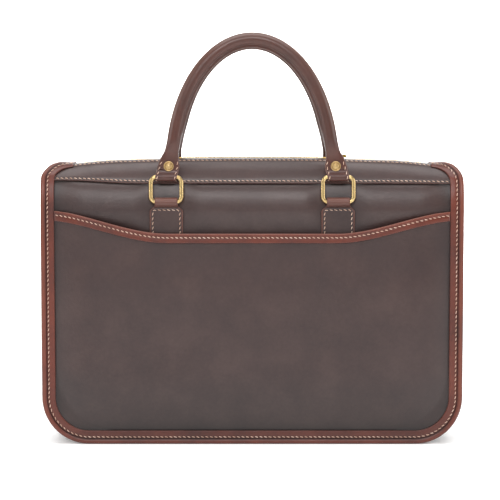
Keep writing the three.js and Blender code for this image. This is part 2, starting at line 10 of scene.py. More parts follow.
import bpy
import numpy as np
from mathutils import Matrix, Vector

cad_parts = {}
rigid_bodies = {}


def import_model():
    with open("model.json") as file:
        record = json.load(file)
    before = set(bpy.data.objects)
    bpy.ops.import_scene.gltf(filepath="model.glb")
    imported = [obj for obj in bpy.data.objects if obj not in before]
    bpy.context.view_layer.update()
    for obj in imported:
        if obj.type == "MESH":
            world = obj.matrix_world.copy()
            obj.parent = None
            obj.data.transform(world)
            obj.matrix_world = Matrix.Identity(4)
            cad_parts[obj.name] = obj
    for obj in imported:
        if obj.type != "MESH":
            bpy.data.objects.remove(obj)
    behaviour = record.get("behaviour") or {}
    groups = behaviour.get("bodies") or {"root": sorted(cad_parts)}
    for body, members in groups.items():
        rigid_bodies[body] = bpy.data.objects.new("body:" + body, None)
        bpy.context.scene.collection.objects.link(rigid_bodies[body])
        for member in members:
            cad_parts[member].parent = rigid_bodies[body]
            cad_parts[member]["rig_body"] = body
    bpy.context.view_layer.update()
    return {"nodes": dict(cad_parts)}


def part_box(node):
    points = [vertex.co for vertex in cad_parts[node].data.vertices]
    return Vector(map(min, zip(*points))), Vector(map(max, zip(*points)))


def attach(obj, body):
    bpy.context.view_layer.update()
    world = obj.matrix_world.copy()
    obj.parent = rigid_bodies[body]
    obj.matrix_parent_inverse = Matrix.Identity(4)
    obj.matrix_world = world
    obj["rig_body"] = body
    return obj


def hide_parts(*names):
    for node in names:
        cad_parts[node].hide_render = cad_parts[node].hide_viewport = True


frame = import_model()

# %% [markdown]
# ## Sizes
# A pattern cutter writes every size in millimetres, so the shapes below do too, and one function at the
# end of each shape turns them into metres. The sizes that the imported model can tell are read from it.
# The others repeat the sizes that the model was built with.

# %% Driving sizes, in millimetres
MM = 0.001


def extent(node, axis):
    """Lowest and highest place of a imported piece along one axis, in millimetres."""
    low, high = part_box(node)
    return low[axis] / MM, high[axis] / MM


HALF_WIDTH = extent("front_binding", 0)[1]
MIDDLE_Y = sum(extent("zip_tape", 1)) / 2
HALF_DEPTH = 31.0
ROOF_HEIGHT = 266.0
ROOF_CROWN = 3.5
CORNER_DROOP = 3.2
CORNER_DROOP_START = 130.0
SEAM_BOW = 4.0
BOW_START, BOW_RUN = 98.0, 88.0
BOW_ABOVE, BOW_BELOW = 11.0, 22.0
SHOULDER_RISE = 44.0
SHOULDER_REACH = 22.0
ROOF_FLAT = 4.5
BOTTOM_RADIUS = 45.0
CORNER_REACH = 30.0
CORNER_RUN = 31.0
GAP = 0.3
LEATHER = 1.8
BAND = 13.0
ROLL = 5.0
ROLL_CORE = 3.4
STRIP_WIDTH = 31.5
SEAM_LAP = 10.0
STITCH_PITCH = 4.3
RING_SPACING = 162.0
SHOULDER_START = ROOF_HEIGHT - SHOULDER_RISE
LEATHER_EDGE = ROLL_CORE + GAP
LAYER = GAP + LEATHER
print(f"half width {HALF_WIDTH:.1f} mm, middle at y {MIDDLE_Y:.2f} mm")

# %% [markdown]
# ## Camera
# The photograph looks straight at the front from a little above, through a long lens. Setting the
# camera first lets every later piece be judged in the picture. The lens is chosen so that the 400 mm
# front fills as much of the frame as it does in the photograph.

# %% Camera at the photograph's angle
CAMERA_ELEVATION = np.radians(5.0)
CAMERA_DISTANCE = 1.62
PIXELS_PER_MM = 1.057
IMAGE_SIZE = 500
AIM = np.array([-0.0021, -0.0294, 0.1854])
SENSOR = 36.0

view_width = IMAGE_SIZE / PIXELS_PER_MM * MM
camera_data = bpy.data.cameras.new("photo_camera")
camera_data.sensor_width = SENSOR
camera_data.lens = SENSOR * CAMERA_DISTANCE / view_width
camera = bpy.data.objects.new("photo_camera", camera_data)
camera.location = AIM + CAMERA_DISTANCE * np.array([0, -np.cos(CAMERA_ELEVATION), np.sin(CAMERA_ELEVATION)])
camera.rotation_euler = (np.pi / 2 - CAMERA_ELEVATION, 0, 0)
bpy.context.scene.collection.objects.link(camera)
bpy.context.scene.camera = camera
print(f"lens {camera_data.lens:.0f} mm")

# %% [markdown]
# ## Floor and light
# The case stands on white paper under soft studio light. One big sheet, curved up behind, has no edge
# that could show. Wide area lights act as softboxes: one overhead, which brightens the top and the
# shoulder, one in front, two at the sides, which draw the soft rims on the rolled edges, and one behind,
# which keeps the paper white.

# %% Paper sweep
def mesh_object(name, points, faces, smooth=True):
    """A mesh from an array of points and the corner numbers of its faces, linked to the scene."""
    mesh = bpy.data.meshes.new(name)
    mesh.from_pydata(np.asarray(points, float), [], list(map(list, faces)))
    mesh.polygons.foreach_set("use_smooth", np.full(len(mesh.polygons), smooth))
    mesh.update()
    piece = bpy.data.objects.new(name, mesh)
    bpy.context.scene.collection.objects.link(piece)
    return piece


def grid_faces(rows, columns):
    """Quads between the points of a grid that is stored row by row."""
    corner = (np.arange(rows - 1)[:, None] * columns + np.arange(columns - 1)).ravel()
    return np.stack([corner, corner + 1, corner + columns + 1, corner + columns], axis=1)


def paper_sweep(half_width, front, back, radius, height, steps=24):
    """Level floor, a quarter circle of the given radius, then an upright wall, carried along X."""
    turn = np.linspace(0, np.pi / 2, steps)
    y = np.concatenate([[front], back - radius + radius * np.sin(turn), [back]])
    z = np.concatenate([[0], radius - radius * np.cos(turn), [height]])
    x = np.array([-half_width, half_width])
    points = np.stack(np.broadcast_arrays(x[:, None], y, z), axis=2)
    return mesh_object("paper", points.reshape(-1, 3), grid_faces(2, len(y)))


paper = paper_sweep(half_width=7, front=-5, back=5, radius=1.5, height=6)

# %% Softboxes
def softbox(name, place, target, size, watts):
    """A rectangular area light at a place, turned to a target point."""
    data = bpy.data.lights.new(name, "AREA")
    data.shape = "RECTANGLE"
    data.size, data.size_y = size
    data.energy = watts
    light = bpy.data.objects.new(name, data)
    direction = np.subtract(target, place)
    flat = np.hypot(direction[0], direction[1])
    light.location = place
    light.rotation_euler = (np.arctan2(flat, -direction[2]), 0, np.arctan2(-direction[0], direction[1]))
    bpy.context.scene.collection.objects.link(light)
    return light


softbox("overhead_box", (0, -0.2, 1.9), (0, -0.05, 0.25), (2.2, 1.2), 33)
softbox("key_box", (-0.15, -2.1, 1.35), (0, 0, 0.25), (1.6, 0.45), 27)
softbox("left_box", (-1.7, -0.45, 0.7), (0, 0, 0.2), (0.8, 1.2), 11)
softbox("right_box", (1.7, -0.45, 0.7), (0, 0, 0.2), (0.8, 1.2), 13)
softbox("backdrop_box", (0, 2.0, 2.6), (0, 5.0, 1.2), (4.0, 1.2), 420)

# %% Even white surroundings
world = bpy.data.worlds.new("studio")
world.use_nodes = True
world.node_tree.nodes["Background"].inputs["Color"].default_value = (1, 1, 1, 1)
world.node_tree.nodes["Background"].inputs["Strength"].default_value = 0.16
bpy.context.scene.world = world
bpy.context.scene.view_settings.view_transform = "Standard"

# %% [markdown]
# ## Material helpers
# Colours are read off the photograph as hex values, as a designer writes them. Blender wants linear
# light, so one function converts them. Two more add any node with its settings and connect its inputs,
# which keeps each material below short enough to read as a recipe.

# %% Colour and node helpers
def linear(hex_colour):
    """sRGB hex to linear RGBA: small values are divided by 12.92, the others follow the 2.4 power."""
    value = np.array([int(hex_colour[i:i + 2], 16) for i in (1, 3, 5)]) / 255
    light = np.where(value <= 0.04045, value / 12.92, ((value + 0.055) / 1.055) ** 2.4)
    return (*light, 1.0)


def connect(tree, node, **inputs):
    """Sets inputs by name, or by number as in i2. Another node's output is linked, a value is stored."""
    for name, value in inputs.items():
        numbered = name[0] == "i" and name[1:].isdigit()
        socket = node.inputs[int(name[1:]) if numbered else name.replace("_", " ")]
        if isinstance(value, bpy.types.NodeSocket):
            tree.links.new(value, socket)
        else:
            socket.default_value = value
    return node


def add(tree, kind, settings=None, **inputs):
    """Adds one node. Settings are its properties, and its inputs are connected as above."""
    node = tree.nodes.new(kind)
    for name, value in (settings or {}).items():
        setattr(node, name, value)
    return connect(tree, node, **inputs)


def new_material(name):
    """An empty node material with its output and its Principled shader."""
    material = bpy.data.materials.new(name)
    material.use_nodes = True
    tree = material.node_tree
    return material, tree, tree.nodes["Principled BSDF"]


def ramp(tree, factor, stops):
    """A colour ramp over a factor, from (place, hex colour) stops."""
    node = add(tree, "ShaderNodeValToRGB", i0=factor)
    elements = node.color_ramp.elements
    while len(elements) < len(stops):
        elements.new(0.5)
    for element, (place, colour) in zip(elements, stops):
        element.position = place
        element.color = linear(colour)
    return node.outputs["Color"]


# %% [markdown]
# ## Leather
# The panels are oiled cowhide, dyed dark brown in the drum and only lightly finished. To the eye that
# means a satin gloss that changes a little from place to place, a very fine pebble grain, pores, and
# cloudy changes of tone where the oil has gathered. The bindings are the same hide in a redder dye,
# and the handles lie between the two. One recipe therefore makes all three, with its own colours.
# The grain cells are 0.9 mm wide. That is finer than the camera resolves, so a second, coarser cloud
# of 3 mm is laid over them, which shows as the faint mottling of the photograph.
# Each soft piece carries one attribute for wear and painted light: below 0.5 is painted shade in grooves,
# folds and stitch valleys, under the strips' lower edges, beside the bindings and towards the floor, and
# above 0.5 is lighter leather, rubbed on bends and cut edges, and a painted highlight on the rolled edges.

# %% One recipe for the three hides
GRAIN = 0.9


def leather(name, dark, body, light, rubbed_and_highlight, roughness):
    """Oiled leather: cloudy dye between three tones, wear with painted shade and highlight by attribute,
    pebble grain and pores as bump.
    """
    material, tree, shader = new_material(name)
    place = add(tree, "ShaderNodeTexCoord").outputs["Object"]
    per_metre = 1 / MM
    clouds = add(tree, "ShaderNodeTexNoise", Vector=place, Scale=per_metre / 40, Detail=5.0, Roughness=0.6)
    mottle = add(tree, "ShaderNodeTexNoise", Vector=place, Scale=per_metre / 3, Detail=3.0, Roughness=0.6)
    mixed = add(tree, "ShaderNodeMath", {"operation": "MULTIPLY_ADD"},
                i0=mottle.outputs["Fac"], i1=0.35, i2=clouds.outputs["Fac"]).outputs[0]
    tone = ramp(tree, mixed, [(0.42, dark), (0.66, body), (0.92, light)])
    wear_and_painted_light = add(tree, "ShaderNodeAttribute", {"attribute_name": "wear_and_painted_light"}).outputs["Fac"]
    # Below 0.5 the attribute darkens the tone as painted shade; above 0.5 it mixes in the lighter tone of
    # rubbed leather and painted highlight.
    shade = add(tree, "ShaderNodeMapRange", Value=wear_and_painted_light, i1=0.0, i2=0.5, i3=0.22, i4=1.0).outputs[0]
    rub_and_highlight = add(tree, "ShaderNodeMapRange", Value=wear_and_painted_light, i1=0.5, i2=1.0, i3=0.0, i4=1.0).outputs[0]
    worn_and_highlit = add(tree, "ShaderNodeMix", {"data_type": "RGBA"}, i0=rub_and_highlight, i6=tone, i7=linear(rubbed_and_highlight))
    colour = add(tree, "ShaderNodeMix", {"data_type": "RGBA", "blend_type": "MULTIPLY"},
                 i0=1.0, i6=worn_and_highlit.outputs[2], i7=shade)
    gloss = add(tree, "ShaderNodeMapRange", Value=mixed, i1=0.4, i2=0.9,
                i3=roughness + 0.06, i4=roughness - 0.05)
    cells = add(tree, "ShaderNodeTexVoronoi", {"feature": "DISTANCE_TO_EDGE"}, Vector=place,
                Scale=per_metre / GRAIN, Randomness=0.9)
    pebble = add(tree, "ShaderNodeMapRange", Value=cells.outputs["Distance"], i1=0.0, i2=0.28, i3=0.0, i4=1.0)
    fine = add(tree, "ShaderNodeTexNoise", Vector=place, Scale=per_metre / 0.5, Detail=2.0)
    relief = add(tree, "ShaderNodeMath", {"operation": "MULTIPLY_ADD"},
                 i0=fine.outputs["Fac"], i1=0.5, i2=pebble.outputs[0])
    bump = add(tree, "ShaderNodeBump", Strength=0.22, Distance=0.09 * MM, Height=relief.outputs[0])
    creases = add(tree, "ShaderNodeBump", Strength=0.30, Distance=0.5 * MM, Height=mottle.outputs["Fac"],
                  Normal=bump.outputs[0])
    connect(tree, shader, Base_Color=colour.outputs[2], Roughness=gloss.outputs[0],
            Normal=creases.outputs[0], IOR=1.5, Sheen_Weight=0.05, Sheen_Roughness=0.5)
    return material


panel_leather = leather("dark_brown_oiled_leather", "#302120", "#392826", "#43312e", "#66382a", 0.38)
binding_leather = leather("red_brown_bridle_leather", "#431910", "#582315", "#692e1e", "#82442f", 0.38)
handle_leather = leather("mid_brown_rolled_leather", "#381b15", "#44221a", "#522b22", "#86685b", 0.33)
print("leathers", [m.name for m in bpy.data.materials if "leather" in m.name])

# %% [markdown]
# ## Thread, brass and zip tape
# The stitching is waxed linen thread, twisted from three strands. Its twist is finer than a pixel, so a
# slanting wave 0.9 mm long stands for it. The rings and rivets are solid brass, cast and polished, then
# slightly dulled by handling: a warm yellow metal with soft blotches of roughness. The zip tape is
# woven cotton, matt, with ribs along its length.

# %% Waxed thread
def waxed_thread():
    """Cream linen with a twist that follows each stitch's own length, given by its UV map."""
    material, tree, shader = new_material("waxed_linen_thread")
    uv = add(tree, "ShaderNodeUVMap", {"uv_map": "along"}).outputs[0]
    twist = add(tree, "ShaderNodeTexWave", {"bands_direction": "DIAGONAL"},
                Vector=uv, Scale=1.6, Distortion=0.5)
    place = add(tree, "ShaderNodeTexCoord").outputs["Object"]
    soil = add(tree, "ShaderNodeTexNoise", Vector=place, Scale=1 / (12 * MM), Detail=2.0)
    tone = ramp(tree, soil.outputs["Fac"], [(0.3, "#b8937c"), (0.55, "#d3b19b"), (0.75, "#e2c9b7")])
    bump = add(tree, "ShaderNodeBump", Strength=0.5, Distance=0.12 * MM, Height=twist.outputs["Fac"])
    connect(tree, shader, Base_Color=tone, Normal=bump.outputs[0], Roughness=0.6, Sheen_Weight=0.15)
    return material


# %% Aged brass
def aged_brass(name, base, dull, roughness):
    """Polished brass with a thin tarnish: two tones and uneven roughness, and fine scratches as bump."""
    material, tree, shader = new_material(name)
    place = add(tree, "ShaderNodeTexCoord").outputs["Object"]
    tarnish = add(tree, "ShaderNodeTexNoise", Vector=place, Scale=1 / (3 * MM), Detail=4.0, Roughness=0.6)
    tone = ramp(tree, tarnish.outputs["Fac"], [(0.35, dull), (0.62, base)])
    rough = add(tree, "ShaderNodeMapRange", Value=tarnish.outputs["Fac"], i1=0.3, i2=0.7,
                i3=roughness + 0.12, i4=roughness)
    scratches = add(tree, "ShaderNodeTexNoise", Vector=place, Scale=1 / (0.7 * MM), Detail=3.0)
    bump = add(tree, "ShaderNodeBump", Strength=0.1, Distance=0.015 * MM, Height=scratches.outputs["Fac"])
    connect(tree, shader, Base_Color=tone, Roughness=rough.outputs[0], Normal=bump.outputs[0], Metallic=1.0)
    return material


# %% Woven zip tape
def zip_cotton():
    """Ribbed cotton tape: ribs 0.9 mm apart along the zip, crossed by a finer weft. A wave texture of
    scale 1 repeats about 20 times in a length of 2 pi, which the division by 20 takes back."""
    material, tree, shader = new_material("woven_cotton_tape")
    place = add(tree, "ShaderNodeTexCoord").outputs["Object"]
    ribs = add(tree, "ShaderNodeTexWave", {"bands_direction": "Y"}, Vector=place, Scale=1 / (0.9 * MM) / 20)
    weft = add(tree, "ShaderNodeTexWave", {"bands_direction": "X"}, Vector=place, Scale=1 / (0.6 * MM) / 20)
    weave = add(tree, "ShaderNodeMath", {"operation": "MULTIPLY"},
                i0=ribs.outputs["Fac"], i1=weft.outputs["Fac"]).outputs[0]
    tone = ramp(tree, weave, [(0.0, "#2c211d"), (1.0, "#574740")])
    bump = add(tree, "ShaderNodeBump", Strength=0.6, Distance=0.25 * MM, Height=weave)
    connect(tree, shader, Base_Color=tone, Normal=bump.outputs[0], Roughness=0.85)
    return material


thread = waxed_thread()
ring_brass = aged_brass("polished_aged_brass", "#dcc189", "#c4a670", 0.24)
rivet_brass = aged_brass("dulled_brass", "#bda173", "#a3875a", 0.33)
zip_brass = aged_brass("zip_brass", "#c9a65a", "#8d7038", 0.32)
tape_cotton = zip_cotton()
paper_material, paper_tree, paper_shader = new_material("white_paper")
connect(paper_tree, paper_shader, Base_Color=linear("#fbfbfa"), Roughness=0.9,
        Emission_Color=linear("#ffffff"), Emission_Strength=0.16)
paper.data.materials.append(paper_material)
print("materials", len(bpy.data.materials))

# %% [markdown]
# ## The face as a map
# A panel is a flat piece of hide that stands upright, leans back over the shoulder and ends level at
# the zip. So each face has its own map: x runs across, s runs up along the leather, and n is the height
# above it. Every panel, strip, binding and stitch line is drawn on this map and then folded round the
# case by one function, which is how the real pieces are cut flat and then sewn into shape.

# %% Folding the map round the case
SHOULDER_STEPS = 400
_angles = np.linspace(0, np.pi / 2, SHOULDER_STEPS + 1)
_speeds = np.hypot(SHOULDER_REACH * np.sin(_angles), SHOULDER_RISE * np.cos(_angles))
_lengths = np.concatenate([[0], np.cumsum((_speeds[1:] + _speeds[:-1]) / 2 * (_angles[1] - _angles[0]))])
SHOULDER_LENGTH = _lengths[-1]
FACE_LENGTH = SHOULDER_START + SHOULDER_LENGTH + ROOF_FLAT
CORNER_START = FACE_LENGTH - CORNER_RUN
SEAM = FACE_LENGTH - STRIP_WIDTH


def bell(distance, width):
    """Bell curve: 1 at no distance, about a third at the given width and almost nothing at twice that."""
    return np.exp(-(distance / width) ** 2)


def unit(vectors):
    """Vectors scaled to length 1 along their last axis."""
    return vectors / np.linalg.norm(vectors, axis=-1, keepdims=True)


def ease(value):
    """Smooth step: 0 below 0, 1 above 1, and 3t^2 - 2t^3 between."""
    t = np.clip(value, 0, 1)
    return t * t * (3 - 2 * t)


def crown(x, s):
    """Height added to the roof: a parabola over the zip's length, less a soft droop of the unstiffened
    corners beyond it, both faded in from the seam upwards."""
    along = 1 - np.minimum(1, (x / (HALF_WIDTH - CORNER_REACH)) ** 2)
    droop = CORNER_DROOP * ease((np.abs(x) - CORNER_DROOP_START) / (HALF_WIDTH - CORNER_DROOP_START))
    rise = ROOF_CROWN * along * ease((s - SEAM) / (STRIP_WIDTH - ROOF_FLAT))
    return rise - droop * ease((s - SEAM + 6) / 26)


def seam_bow(x, s):
    """The leather's slip up the face towards its left side, 4 mm at the seam, fading above and below it
    as a bell curve: hand sewing let the seam and the pocket's corner run up there, and not on the right."""
    run = np.where(s > SEAM, BOW_ABOVE, BOW_BELOW)
    return SEAM_BOW * ease((-x - BOW_START) / BOW_RUN) ** 1.3 * bell(s - SEAM, run)


def on_face(x, s, n):
    """Map to space: upright up to the shoulder, a quarter ellipse by length of arc, then level. n is
    added along the surface's own normal, and the roof's crown along Z."""
    x, s, n = np.broadcast_arrays(np.asarray(x, float), s, n)
    s = s + seam_bow(x, s)
    past = s - SHOULDER_START
    angle = np.interp(past, _lengths, _angles)
    level = np.maximum(past - SHOULDER_LENGTH, 0)
    low = np.minimum(s, SHOULDER_START)
    y = -HALF_DEPTH + SHOULDER_REACH * (1 - np.cos(angle)) + level
    z = low + SHOULDER_RISE * np.sin(angle)
    normal = np.stack([-np.cos(angle) / SHOULDER_REACH, np.sin(angle) / SHOULDER_RISE])
    normal = normal / np.hypot(normal[0], normal[1])
    return np.stack([x, y + n * normal[0], z + n * normal[1] + crown(x, s)], axis=-1)


print(f"the leather is {FACE_LENGTH:.1f} mm from floor to zip, the seam at {SEAM:.1f} mm")

# %% Outline of a face on the map
def outline_half(step=2.0):
    """Right half from the zip's end to the middle of the floor: ellipse, straight side, arc, floor.
    Gives points (x, s) and outward directions, evenly spaced by about the step."""
    turn = np.linspace(np.pi / 2, 0, int(68 / step))
    corner = np.stack([HALF_WIDTH - CORNER_REACH + CORNER_REACH * np.cos(turn),
                       CORNER_START + CORNER_RUN * np.sin(turn)], axis=1)
    corner_out = np.stack([np.cos(turn) / CORNER_REACH, np.sin(turn) / CORNER_RUN], axis=1)
    heights = np.linspace(CORNER_START, BOTTOM_RADIUS, int((CORNER_START - BOTTOM_RADIUS) / step))[1:-1]
    side = np.stack([np.full_like(heights, HALF_WIDTH), heights], axis=1)
    side_out = np.tile([1.0, 0.0], (len(side), 1))
    bend = np.linspace(0, np.pi / 2, int(BOTTOM_RADIUS * np.pi / 2 / step))
    bend_out = np.stack([np.cos(bend), -np.sin(bend)], axis=1)
    bottom = np.array([HALF_WIDTH - BOTTOM_RADIUS, BOTTOM_RADIUS]) + BOTTOM_RADIUS * bend_out
    across = np.linspace(HALF_WIDTH - BOTTOM_RADIUS, 0, int((HALF_WIDTH - BOTTOM_RADIUS) / (2 * step)))[1:]
    floor = np.stack([across, np.zeros_like(across)], axis=1)
    floor_out = np.tile([0.0, -1.0], (len(floor), 1))
    points = np.concatenate([corner, side, bottom, floor])
    out = np.concatenate([corner_out, side_out, bend_out, floor_out])
    return points, unit(out)


def outline_whole(step=2.0):
    """The outline from the right end of the zip, round under the case, to its left end."""
    points, out = outline_half(step)
    flip = np.array([-1.0, 1.0])
    return np.concatenate([points, points[-2::-1] * flip]), np.concatenate([out, out[-2::-1] * flip])


def half_width_at(s, inset):
    """Half width of the face inside the outline, at heights s, for an inset from it."""
    points, out = outline_half(1.0)
    inner = points - inset * out
    inner = inner[: np.argmax(inner[:, 1] <= inset + 0.01) + 1][::-1]
    return np.interp(s, inner[:, 1], inner[:, 0])


EDGE, EDGE_OUT = outline_whole()
print("outline points", len(EDGE))

# %% [markdown]
# ## Closed leather from two faces
# Real leather has thickness, and its cut edges show. A wall is made from a grid of outer points and a
# grid of inner points: both are turned into quads, and the rims are closed between them. The outward
# direction is tested by the sign of the enclosed volume, so no wall ends up inside out. A second helper
# closes a profile that is carried along a path, as a binding or a rolled handle is.

# %% Mesh helpers for walls and swept profiles
FACES = (("front", False), ("back", True))
INSIDE_WEAR = 0.45


def place(points, back=False):
    """Millimetres about the case's middle to metres in the frame. The back is turned half round."""
    turned = points * np.array([-1.0, -1.0, 1.0]) if back else points
    return (turned + np.array([0, MIDDLE_Y, 0])) * MM


def facing_out(points, faces):
    """Reverses the faces if the volume they enclose is negative."""
    a, b, c, d = (points[faces[:, i]] for i in range(4))
    volume = np.einsum("ij,ij->", a, np.cross(b, c)) + np.einsum("ij,ij->", a, np.cross(c, d))
    return faces if volume > 0 else faces[:, ::-1]


def rim_faces(rim, shift):
    """Quads between a closed row of point numbers and the same row of the other face."""
    after = np.roll(rim, -1)
    return np.stack([rim, after, after + shift, rim + shift], axis=1)


def wall(name, outer, inner, material, body, wear_and_painted_light=None, back=False):
    """A closed solid from two grids of the same size, the outer and the inner face of a leather piece."""
    rows, columns = outer.shape[:2]
    count = rows * columns
    points = np.concatenate([outer.reshape(-1, 3), inner.reshape(-1, 3)])
    top = grid_faces(rows, columns)
    numbers = np.arange(count).reshape(rows, columns)
    rim = np.concatenate([numbers[0, :-1], numbers[:-1, -1], numbers[-1, :0:-1], numbers[:0:-1, 0]])
    faces = np.concatenate([top, top[:, ::-1] + count, rim_faces(rim, count)[:, ::-1]])
    points = place(points, back)
    both = None if wear_and_painted_light is None else np.concatenate([wear_and_painted_light.ravel(), np.full(count, INSIDE_WEAR)])
    return leather_piece(name, points, facing_out(points, faces), material, body, both)


def leather_piece(name, points, faces, material, body, wear_and_painted_light=None):
    """Makes the mesh, gives it its material and its attribute for wear and painted light, and lets it ride on
    its body.
    """
    piece = mesh_object(name, points, faces)
    piece.data.materials.append(material)
    values = np.full(len(points), 0.5) if wear_and_painted_light is None else wear_and_painted_light
    attribute = piece.data.attributes.new("wear_and_painted_light", "FLOAT", "POINT")
    attribute.data.foreach_set("value", np.asarray(values, np.float32))
    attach(piece, body)
    print(f"{name}: {2 * len(piece.data.polygons)} triangles")
    return piece


def sweep(loops, closed_path=False):
    """Quads between closed profiles carried along a path, given as (stations, profile points, any). A
    closed path joins its last profile to its first."""
    stations, around = loops.shape[:2]
    numbers = np.arange(stations * around).reshape(stations, around)
    here = numbers if closed_path else numbers[:-1]
    there = np.roll(numbers, -1, axis=0) if closed_path else numbers[1:]
    quads = [here, np.roll(here, -1, axis=1), np.roll(there, -1, axis=1), there]
    return np.stack(quads, axis=-1).reshape(-1, 4)


def solid_strip(name, loops, material, body, wear_and_painted_light, back=False):
    """A swept profile as one leather piece, both ends closed by a fan round their middle point."""
    stations, around = loops.shape[:2]
    points = np.concatenate([loops.reshape(-1, 3), loops[:1].mean(axis=1), loops[-1:].mean(axis=1)])
    points = place(points, back)
    first = np.arange(around)
    last = first + (stations - 1) * around
    middle = np.full(around, stations * around)
    fans = np.concatenate([np.stack([np.roll(first, -1), first, middle], axis=1),
                           np.stack([last, np.roll(last, -1), middle + 1], axis=1)])
    quads = sweep(loops)
    outward = facing_out(points, quads)
    if outward is not quads:
        fans = fans[:, ::-1]
    both = np.concatenate([wear_and_painted_light.ravel(), np.full(2, INSIDE_WEAR)])
    return leather_piece(name, points, [*outward, *fans], material, body, both)


def profile(columns, like):
    """The two coordinates of a profile's points, each a number or a row, as arrays (row, point)."""
    return [np.stack([np.broadcast_to(point[k], like.shape) for point in columns], axis=1) for k in (0, 1)]


# %% [markdown]
# ## Swell of the faces
# A sewn face is held tight at its edges and stands out in the middle, steeply at first and then level.
# The pocket adds its own swell, held a little closer at the mouth. Leather never lies perfectly even,
# so a few long, shallow waves are added, each less than half a millimetre high. The waves come from
# fixed sines, so the case has the same folds on every run.

# %% Heights of the panel and the pocket
PANEL_BULGE = 1.2
POCKET_BULGE = 9.0
BULGE_RUN = 60.0
MOUTH = 201.4
MOUTH_RISE = 20.6
MOUTH_FLAT = 160.0
MOUTH_HOLD = 0.78
NECK_FOOT = 218.0


def swell(x, s):
    """1 minus (1 - share)^2.4, where share grows from 0 at the binding to 1 at 60 mm inside it."""
    from_side = HALF_WIDTH - BAND - GAP - np.abs(x)
    from_floor = s - BAND - GAP
    short = np.hypot(np.maximum(BULGE_RUN - from_side, 0), np.maximum(BULGE_RUN - from_floor, 0))
    return 1 - (1 - np.clip(1 - short / BULGE_RUN, 0, 1)) ** 2.4


def panel_rise(x, s):
    """Height of the panel: its swell, faded out towards the tabs' necks."""
    return PANEL_BULGE * swell(x, s) * ease((NECK_FOOT - GAP - s) / (NECK_FOOT / 2))


def mouth_at(x):
    """Height of the pocket's mouth: level in the middle, rising smoothly to the side bindings."""
    return MOUTH + MOUTH_RISE * ease((np.abs(x) - MOUTH_FLAT / 2) / (HALF_WIDTH - ROLL - MOUTH_FLAT / 2))


def pocket_rise(x, s):
    """Height of the pocket's inner face over the case's flat front plane."""
    hold = MOUTH_HOLD + (1 - MOUTH_HOLD) * ease((MOUTH - s) / BULGE_RUN)
    return panel_rise(x, s) + GAP + POCKET_BULGE * swell(x, s) * hold


def waves(x, s, height):
    """A sum of four long sines across and along the leather, at most the given height in all."""
    total = (np.sin(x / 31 + 0.7 * np.sin(s / 47)) + 0.8 * np.sin(s / 27 + x / 83 + 1.3)
             + 0.6 * np.sin((x + 1.6 * s) / 39 + 2.1) + 0.5 * np.sin((x - 1.2 * s) / 22 + 0.4))
    return height * total / 2.9


# %% Places across and along a face, closer together beside its edges
def edge_spacing(length, count, near=0.35):
    """count places from 0 to length, drawn towards both ends by a share of a sine."""
    t = np.linspace(0, 1, count)
    return length * (t - near * np.sin(2 * np.pi * t) / (2 * np.pi))


def face_grid(rows, columns, inset, low, high, near=0.35):
    """Grids of x and s that fill the face between two heights, inside an inset outline."""
    s = low + edge_spacing(high - low, rows, near)
    half = half_width_at(s, inset)
    across = edge_spacing(2.0, columns, near) - 1
    return across[None, :] * half[:, None], np.broadcast_to(s[:, None], (rows, columns))


# %% [markdown]
# ## The two large panels
# Each panel runs from the floor binding up under the top strip. Its lower two thirds are hidden behind
# the pocket on the front and open to view on the back. A soft band of light crosses it where it begins
# to lean back over the shoulder.

# %% Front and back panels
TUCK_ROLL = 3.2
TUCK_RUN = 8.5
TUCK_FOOT = 202.0


def tuck_roll(x, s):
    """Just under the seam the panel bellies out by 3.2 mm and dips in to the stitches, as an exponential
    of the distance from the seam. It is pressed flat at the ring tabs."""
    belly = 1 - np.exp(-np.maximum(SEAM - s, 0) / TUCK_RUN)
    free_of_tab = ease((np.abs(np.abs(x) - RING_SPACING / 2) - 10) / 24)
    free_of_side = ease((HALF_WIDTH - BAND - np.abs(x)) / 30)
    return TUCK_ROLL * belly * ease((s - TUCK_FOOT) / 22) * free_of_tab * free_of_side * (s < SEAM)


def edge_shade(x, s):
    """Wear value taken off as painted shade beside the binding, and a little more towards the base."""
    from_binding = np.minimum(HALF_WIDTH - np.abs(x), s) - BAND
    beside = 0.3 * np.exp(-np.maximum(from_binding, 0) / 6)
    return beside + 0.2 * ease((90 - s) / 75)


def panel(name, back):
    """One large face, waved only where it is free of the bindings, the seam and the tabs."""
    x, s = face_grid(150, 160, LEATHER_EDGE, LEATHER_EDGE, SEAM + SEAM_LAP)
    inside = swell(x, s) * ease((SEAM - 6 - s) / 30)
    n = panel_rise(x, s) + waves(x, s, 0.35) * inside + tuck_roll(x, s)
    # Painted shadow under the top strip's lower edge, and painted shade beside the binding and towards the
    # floor.
    shade = 0.5 - 0.46 * ease(1 - (SEAM - s) / 2.4) - edge_shade(x, s)
    outer, inner = on_face(x, s, n), on_face(x, s, n - LEATHER)
    return wall(name, outer, inner, panel_leather, "case", shade, back)


for word, back in FACES:
    piece = panel(f"{word}_panel_leather", back)
    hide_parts(f"{word}_panel")

# %% [markdown]
# ## The top strips
# A strip of the same hide lies over the panel's top edge and runs over the shoulder to the zip. Its
# lower edge is cut clean and casts a dark line on the panel, deepened there by painted shadow, with a row
# of stitches just above it. A second row holds the zip tape. Each row pulls the leather down into a
# shallow valley, and the seam's row is darkened in its valley with painted shade.

# %% Front and back top strips
SEAM_STITCH = 2.3
ZIP_STITCH = 9.5


def valley(distance, depth, width):
    """A groove pressed by a row of stitches: a bell curve across the row."""
    return -depth * bell(distance, width)


def round_edge(distance, radius):
    """Drop of a face beside its cut edge: a quarter circle of the given radius."""
    inside = np.clip(distance, 0, radius)
    return -(radius - np.sqrt(np.maximum(radius ** 2 - (radius - inside) ** 2, 0)))


